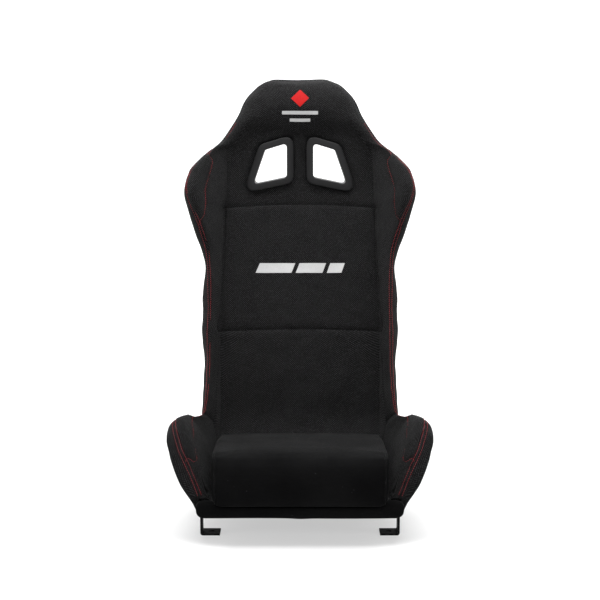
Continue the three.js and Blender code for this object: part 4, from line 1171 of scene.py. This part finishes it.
def cushion_welts():
    """The welt sewn round each side of the cushion, found on the finished mesh."""
    tree = BVHTree.FromObject(pad, bpy.context.evaluated_depsgraph_get())
    middle = Vector((0, (low.y + high.y) / 2, (low.z + high.z) / 2))
    for side, sign in (("right", 1), ("left", -1)):
        loop = []
        x = sign * (high.x - 0.0065)
        for a in np.linspace(0, 2 * math.pi, 220, endpoint=False):
            ray = Vector((0, math.cos(a), math.sin(a)))
            start = Vector((x, middle.y, middle.z)) + ray * 0.5
            hit, out, _, _ = tree.ray_cast(start, -ray)
            if hit is not None:
                loop.append(hit + out * 0.0003)
        tube_along(f"cushion_welt_{side}", loop, 0.0013, VELOUR, "cushion", closed=True)


cushion_welts()


# ---------------------------------------------------------------- front lip
LIP_LEVEL = 0.013  # the lip's middle lies this much below its raised ends
LIP_ROUND = 0.021
LIP_SPREAD = 0.002
LIP_SQUARENESS = 2.6


def front_lip():
    """The padded lip across the front: level under the cushion, with raised round ends beside it."""
    low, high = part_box("front_lip")
    half_x = high.x + LIP_SPREAD
    middle_y, depth = (low.y + high.y) / 2, (high.y - low.y) / 2
    stations = np.sin(np.linspace(-math.pi / 2, math.pi / 2, 181)) * half_x
    angles = np.linspace(0, 2 * math.pi, 40, endpoint=False)
    points = []
    for x in stations:
        top = high.z - LIP_LEVEL * (1 - fade(abs(x), 0.156, 0.188))
        sag = 0.0006 * math.sin(17 * x) + 0.0012 * math.exp(-((x / 0.02) ** 2))
        into_end = max(abs(x) - half_x + LIP_ROUND, 0) / LIP_ROUND
        end = max(1 - into_end ** LIP_SQUARENESS, 0) ** (1 / LIP_SQUARENESS)
        middle_z, height = (top + low.z) / 2, (top - low.z) / 2
        for a in angles:
            c, s = math.cos(a), math.sin(a)
            squared = (abs(c) ** LIP_SQUARENESS + abs(s) ** LIP_SQUARENESS) ** (-1 / LIP_SQUARENESS)
            front_crown = 1.3 if c < 0 else 1.0
            y = middle_y + depth * front_crown * squared * c * (0.4 + 0.6 * end)
            z = middle_z + height * squared * s * end - (sag if s < 0 else 0)
            points.append((x, y, z))
    rings, around = len(stations), len(angles)
    faces = []
    for i in range(rings - 1):
        for k in range(around):
            a, b = i * around + k, i * around + (k + 1) % around
            faces.append([a, b, b + around, a + around])
    mesh = bpy.data.meshes.new("lip_cover")
    mesh.from_pydata(points, [], faces)
    work = bmesh.new()
    work.from_mesh(mesh)
    bmesh.ops.remove_doubles(work, verts=work.verts, dist=1e-5)
    bmesh.ops.holes_fill(work, edges=work.edges, sides=0)
    bmesh.ops.recalc_face_normals(work, faces=work.faces)
    work.to_mesh(mesh)
    work.free()
    mesh.polygons.foreach_set("use_smooth", np.ones(len(mesh.polygons), bool))
    made = bpy.data.objects.new("lip_cover", mesh)
    bpy.context.scene.collection.objects.link(made)
    return finished(made, VELOUR, replaces=("front_lip",))


front_lip()

# ---------------------------------------------------------------- the CAD parts that stay
CAD_FINISH = [
    (("bracket",), BRACKET_PAINT),
    (("bolt_", "washer", "nut", "slider"), ZINC),
    (("strap", "zip_tape", "hook_strip", "loop_strip"), WEBBING),
    (("frame_hoop", "tube", "upright", "pan", "plate"), FRAME_PAINT),
]
for name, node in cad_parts.items():
    for words, material in CAD_FINISH:
        if any(word in name for word in words) and not name.startswith(("seat_cushion", "back_bolster")):
            node.data.materials.clear()
            node.data.materials.append(material)
            break
    if "bracket" in name or "plate" in name or "washer" in name:
        bevel = node.modifiers.new("edges", "BEVEL")
        bevel.width = 0.0006
        bevel.segments = 2
        bevel.limit_method = "ANGLE"
        bevel.angle_limit = math.radians(40)

# ---------------------------------------------------------------- stage, light and camera
def studio():
    """A white floor that curves up into a wall and glows with painted light, dimmed near the seat as painted
    shade so that it is greyer under the seat and its shadow shows.
    """
    white = Shader("studio_white", Roughness=0.9, Base_Color=(0.35, 0.35, 0.35, 1),
                   Emission_Color=(1, 1, 1, 1))
    grain = white.noise(white.object_place(), 3.0, 2.0)
    white.drive("Roughness", white.spread(grain, 0.0, 1.0, 0.88, 0.95))
    away = white.add("ShaderNodeVectorMath", {0: white.object_place()}, operation="LENGTH").outputs["Value"]
    # Painted light and painted shade: the floor glows, at half strength within 0.4 m of the middle and fully
    # past 1.6 m, so it is greyer under the seat
    white.drive("Emission Strength", white.spread(away, 0.4, 1.6, 0.5, 1.0))
    far, wall_y, bend = 60.0, 2.4, 1.4
    profile = [(-far, 0.0), (wall_y, 0.0)]
    turn = np.linspace(0.1, math.pi / 2, 16)
    profile += [(wall_y + bend * math.sin(a), bend * (1 - math.cos(a))) for a in turn]
    profile += [(wall_y + bend, 7.0)]
    points = [(x, y, z - 0.0002) for y, z in profile for x in (-far, far)]
    faces = [[2 * i, 2 * i + 1, 2 * i + 3, 2 * i + 2] for i in range(len(profile) - 1)]
    mesh = bpy.data.meshes.new("studio_floor")
    mesh.from_pydata(points, [], faces)
    mesh.polygons.foreach_set("use_smooth", np.ones(len(mesh.polygons), bool))
    floor = bpy.data.objects.new("studio_floor", mesh)
    bpy.context.scene.collection.objects.link(floor)
    mesh.materials.append(white.material)
    world = bpy.data.worlds.new("studio")
    world.use_nodes = True
    background = world.node_tree.nodes["Background"]
    background.inputs["Color"].default_value = (1, 1, 1, 1)
    background.inputs["Strength"].default_value = 0.2
    bpy.context.scene.world = world


def softbox(name, position, target, size, power):
    """A rectangular area light aimed at a point."""
    light = bpy.data.lights.new(name, "AREA")
    light.shape = "RECTANGLE"
    light.size, light.size_y = size
    light.energy = power
    lamp = bpy.data.objects.new(name, light)
    lamp.location = position
    lamp.rotation_euler = (Vector(target) - Vector(position)).to_track_quat("-Z", "Y").to_euler()
    bpy.context.scene.collection.objects.link(lamp)


studio()
softbox("overhead", (0, -0.3, 3.0), (0, 0.05, 0.5), (2.6, 1.4), 190)
softbox("left_box", (-2.6, -0.6, 1.6), (0, 0, 0.6), (1.0, 2.2), 18)
softbox("right_box", (2.6, -0.6, 1.6), (0, 0, 0.6), (1.0, 2.2), 15)
softbox("front_box", (0, -3.4, 1.9), (0, 0, 0.75), (1.6, 1.0), 32)
softbox("rear_box", (0, 2.2, 2.4), (0, 0, 0.5), (2.4, 1.2), 50)

CAMERA_PLACE = (0, -2.7789, 0.8368)
CAMERA_DROP = 7.5  # degrees that it looks down
camera_data = bpy.data.cameras.new("camera")
camera_data.lens = 76.02
camera_data.sensor_width = 36
camera = bpy.data.objects.new("camera", camera_data)
camera.location = CAMERA_PLACE
camera.rotation_euler = (math.radians(90 - CAMERA_DROP), 0, 0)
bpy.context.scene.collection.objects.link(camera)
bpy.context.scene.camera = camera
bpy.context.scene.view_settings.view_transform = "Standard"

bpy.context.view_layer.update()
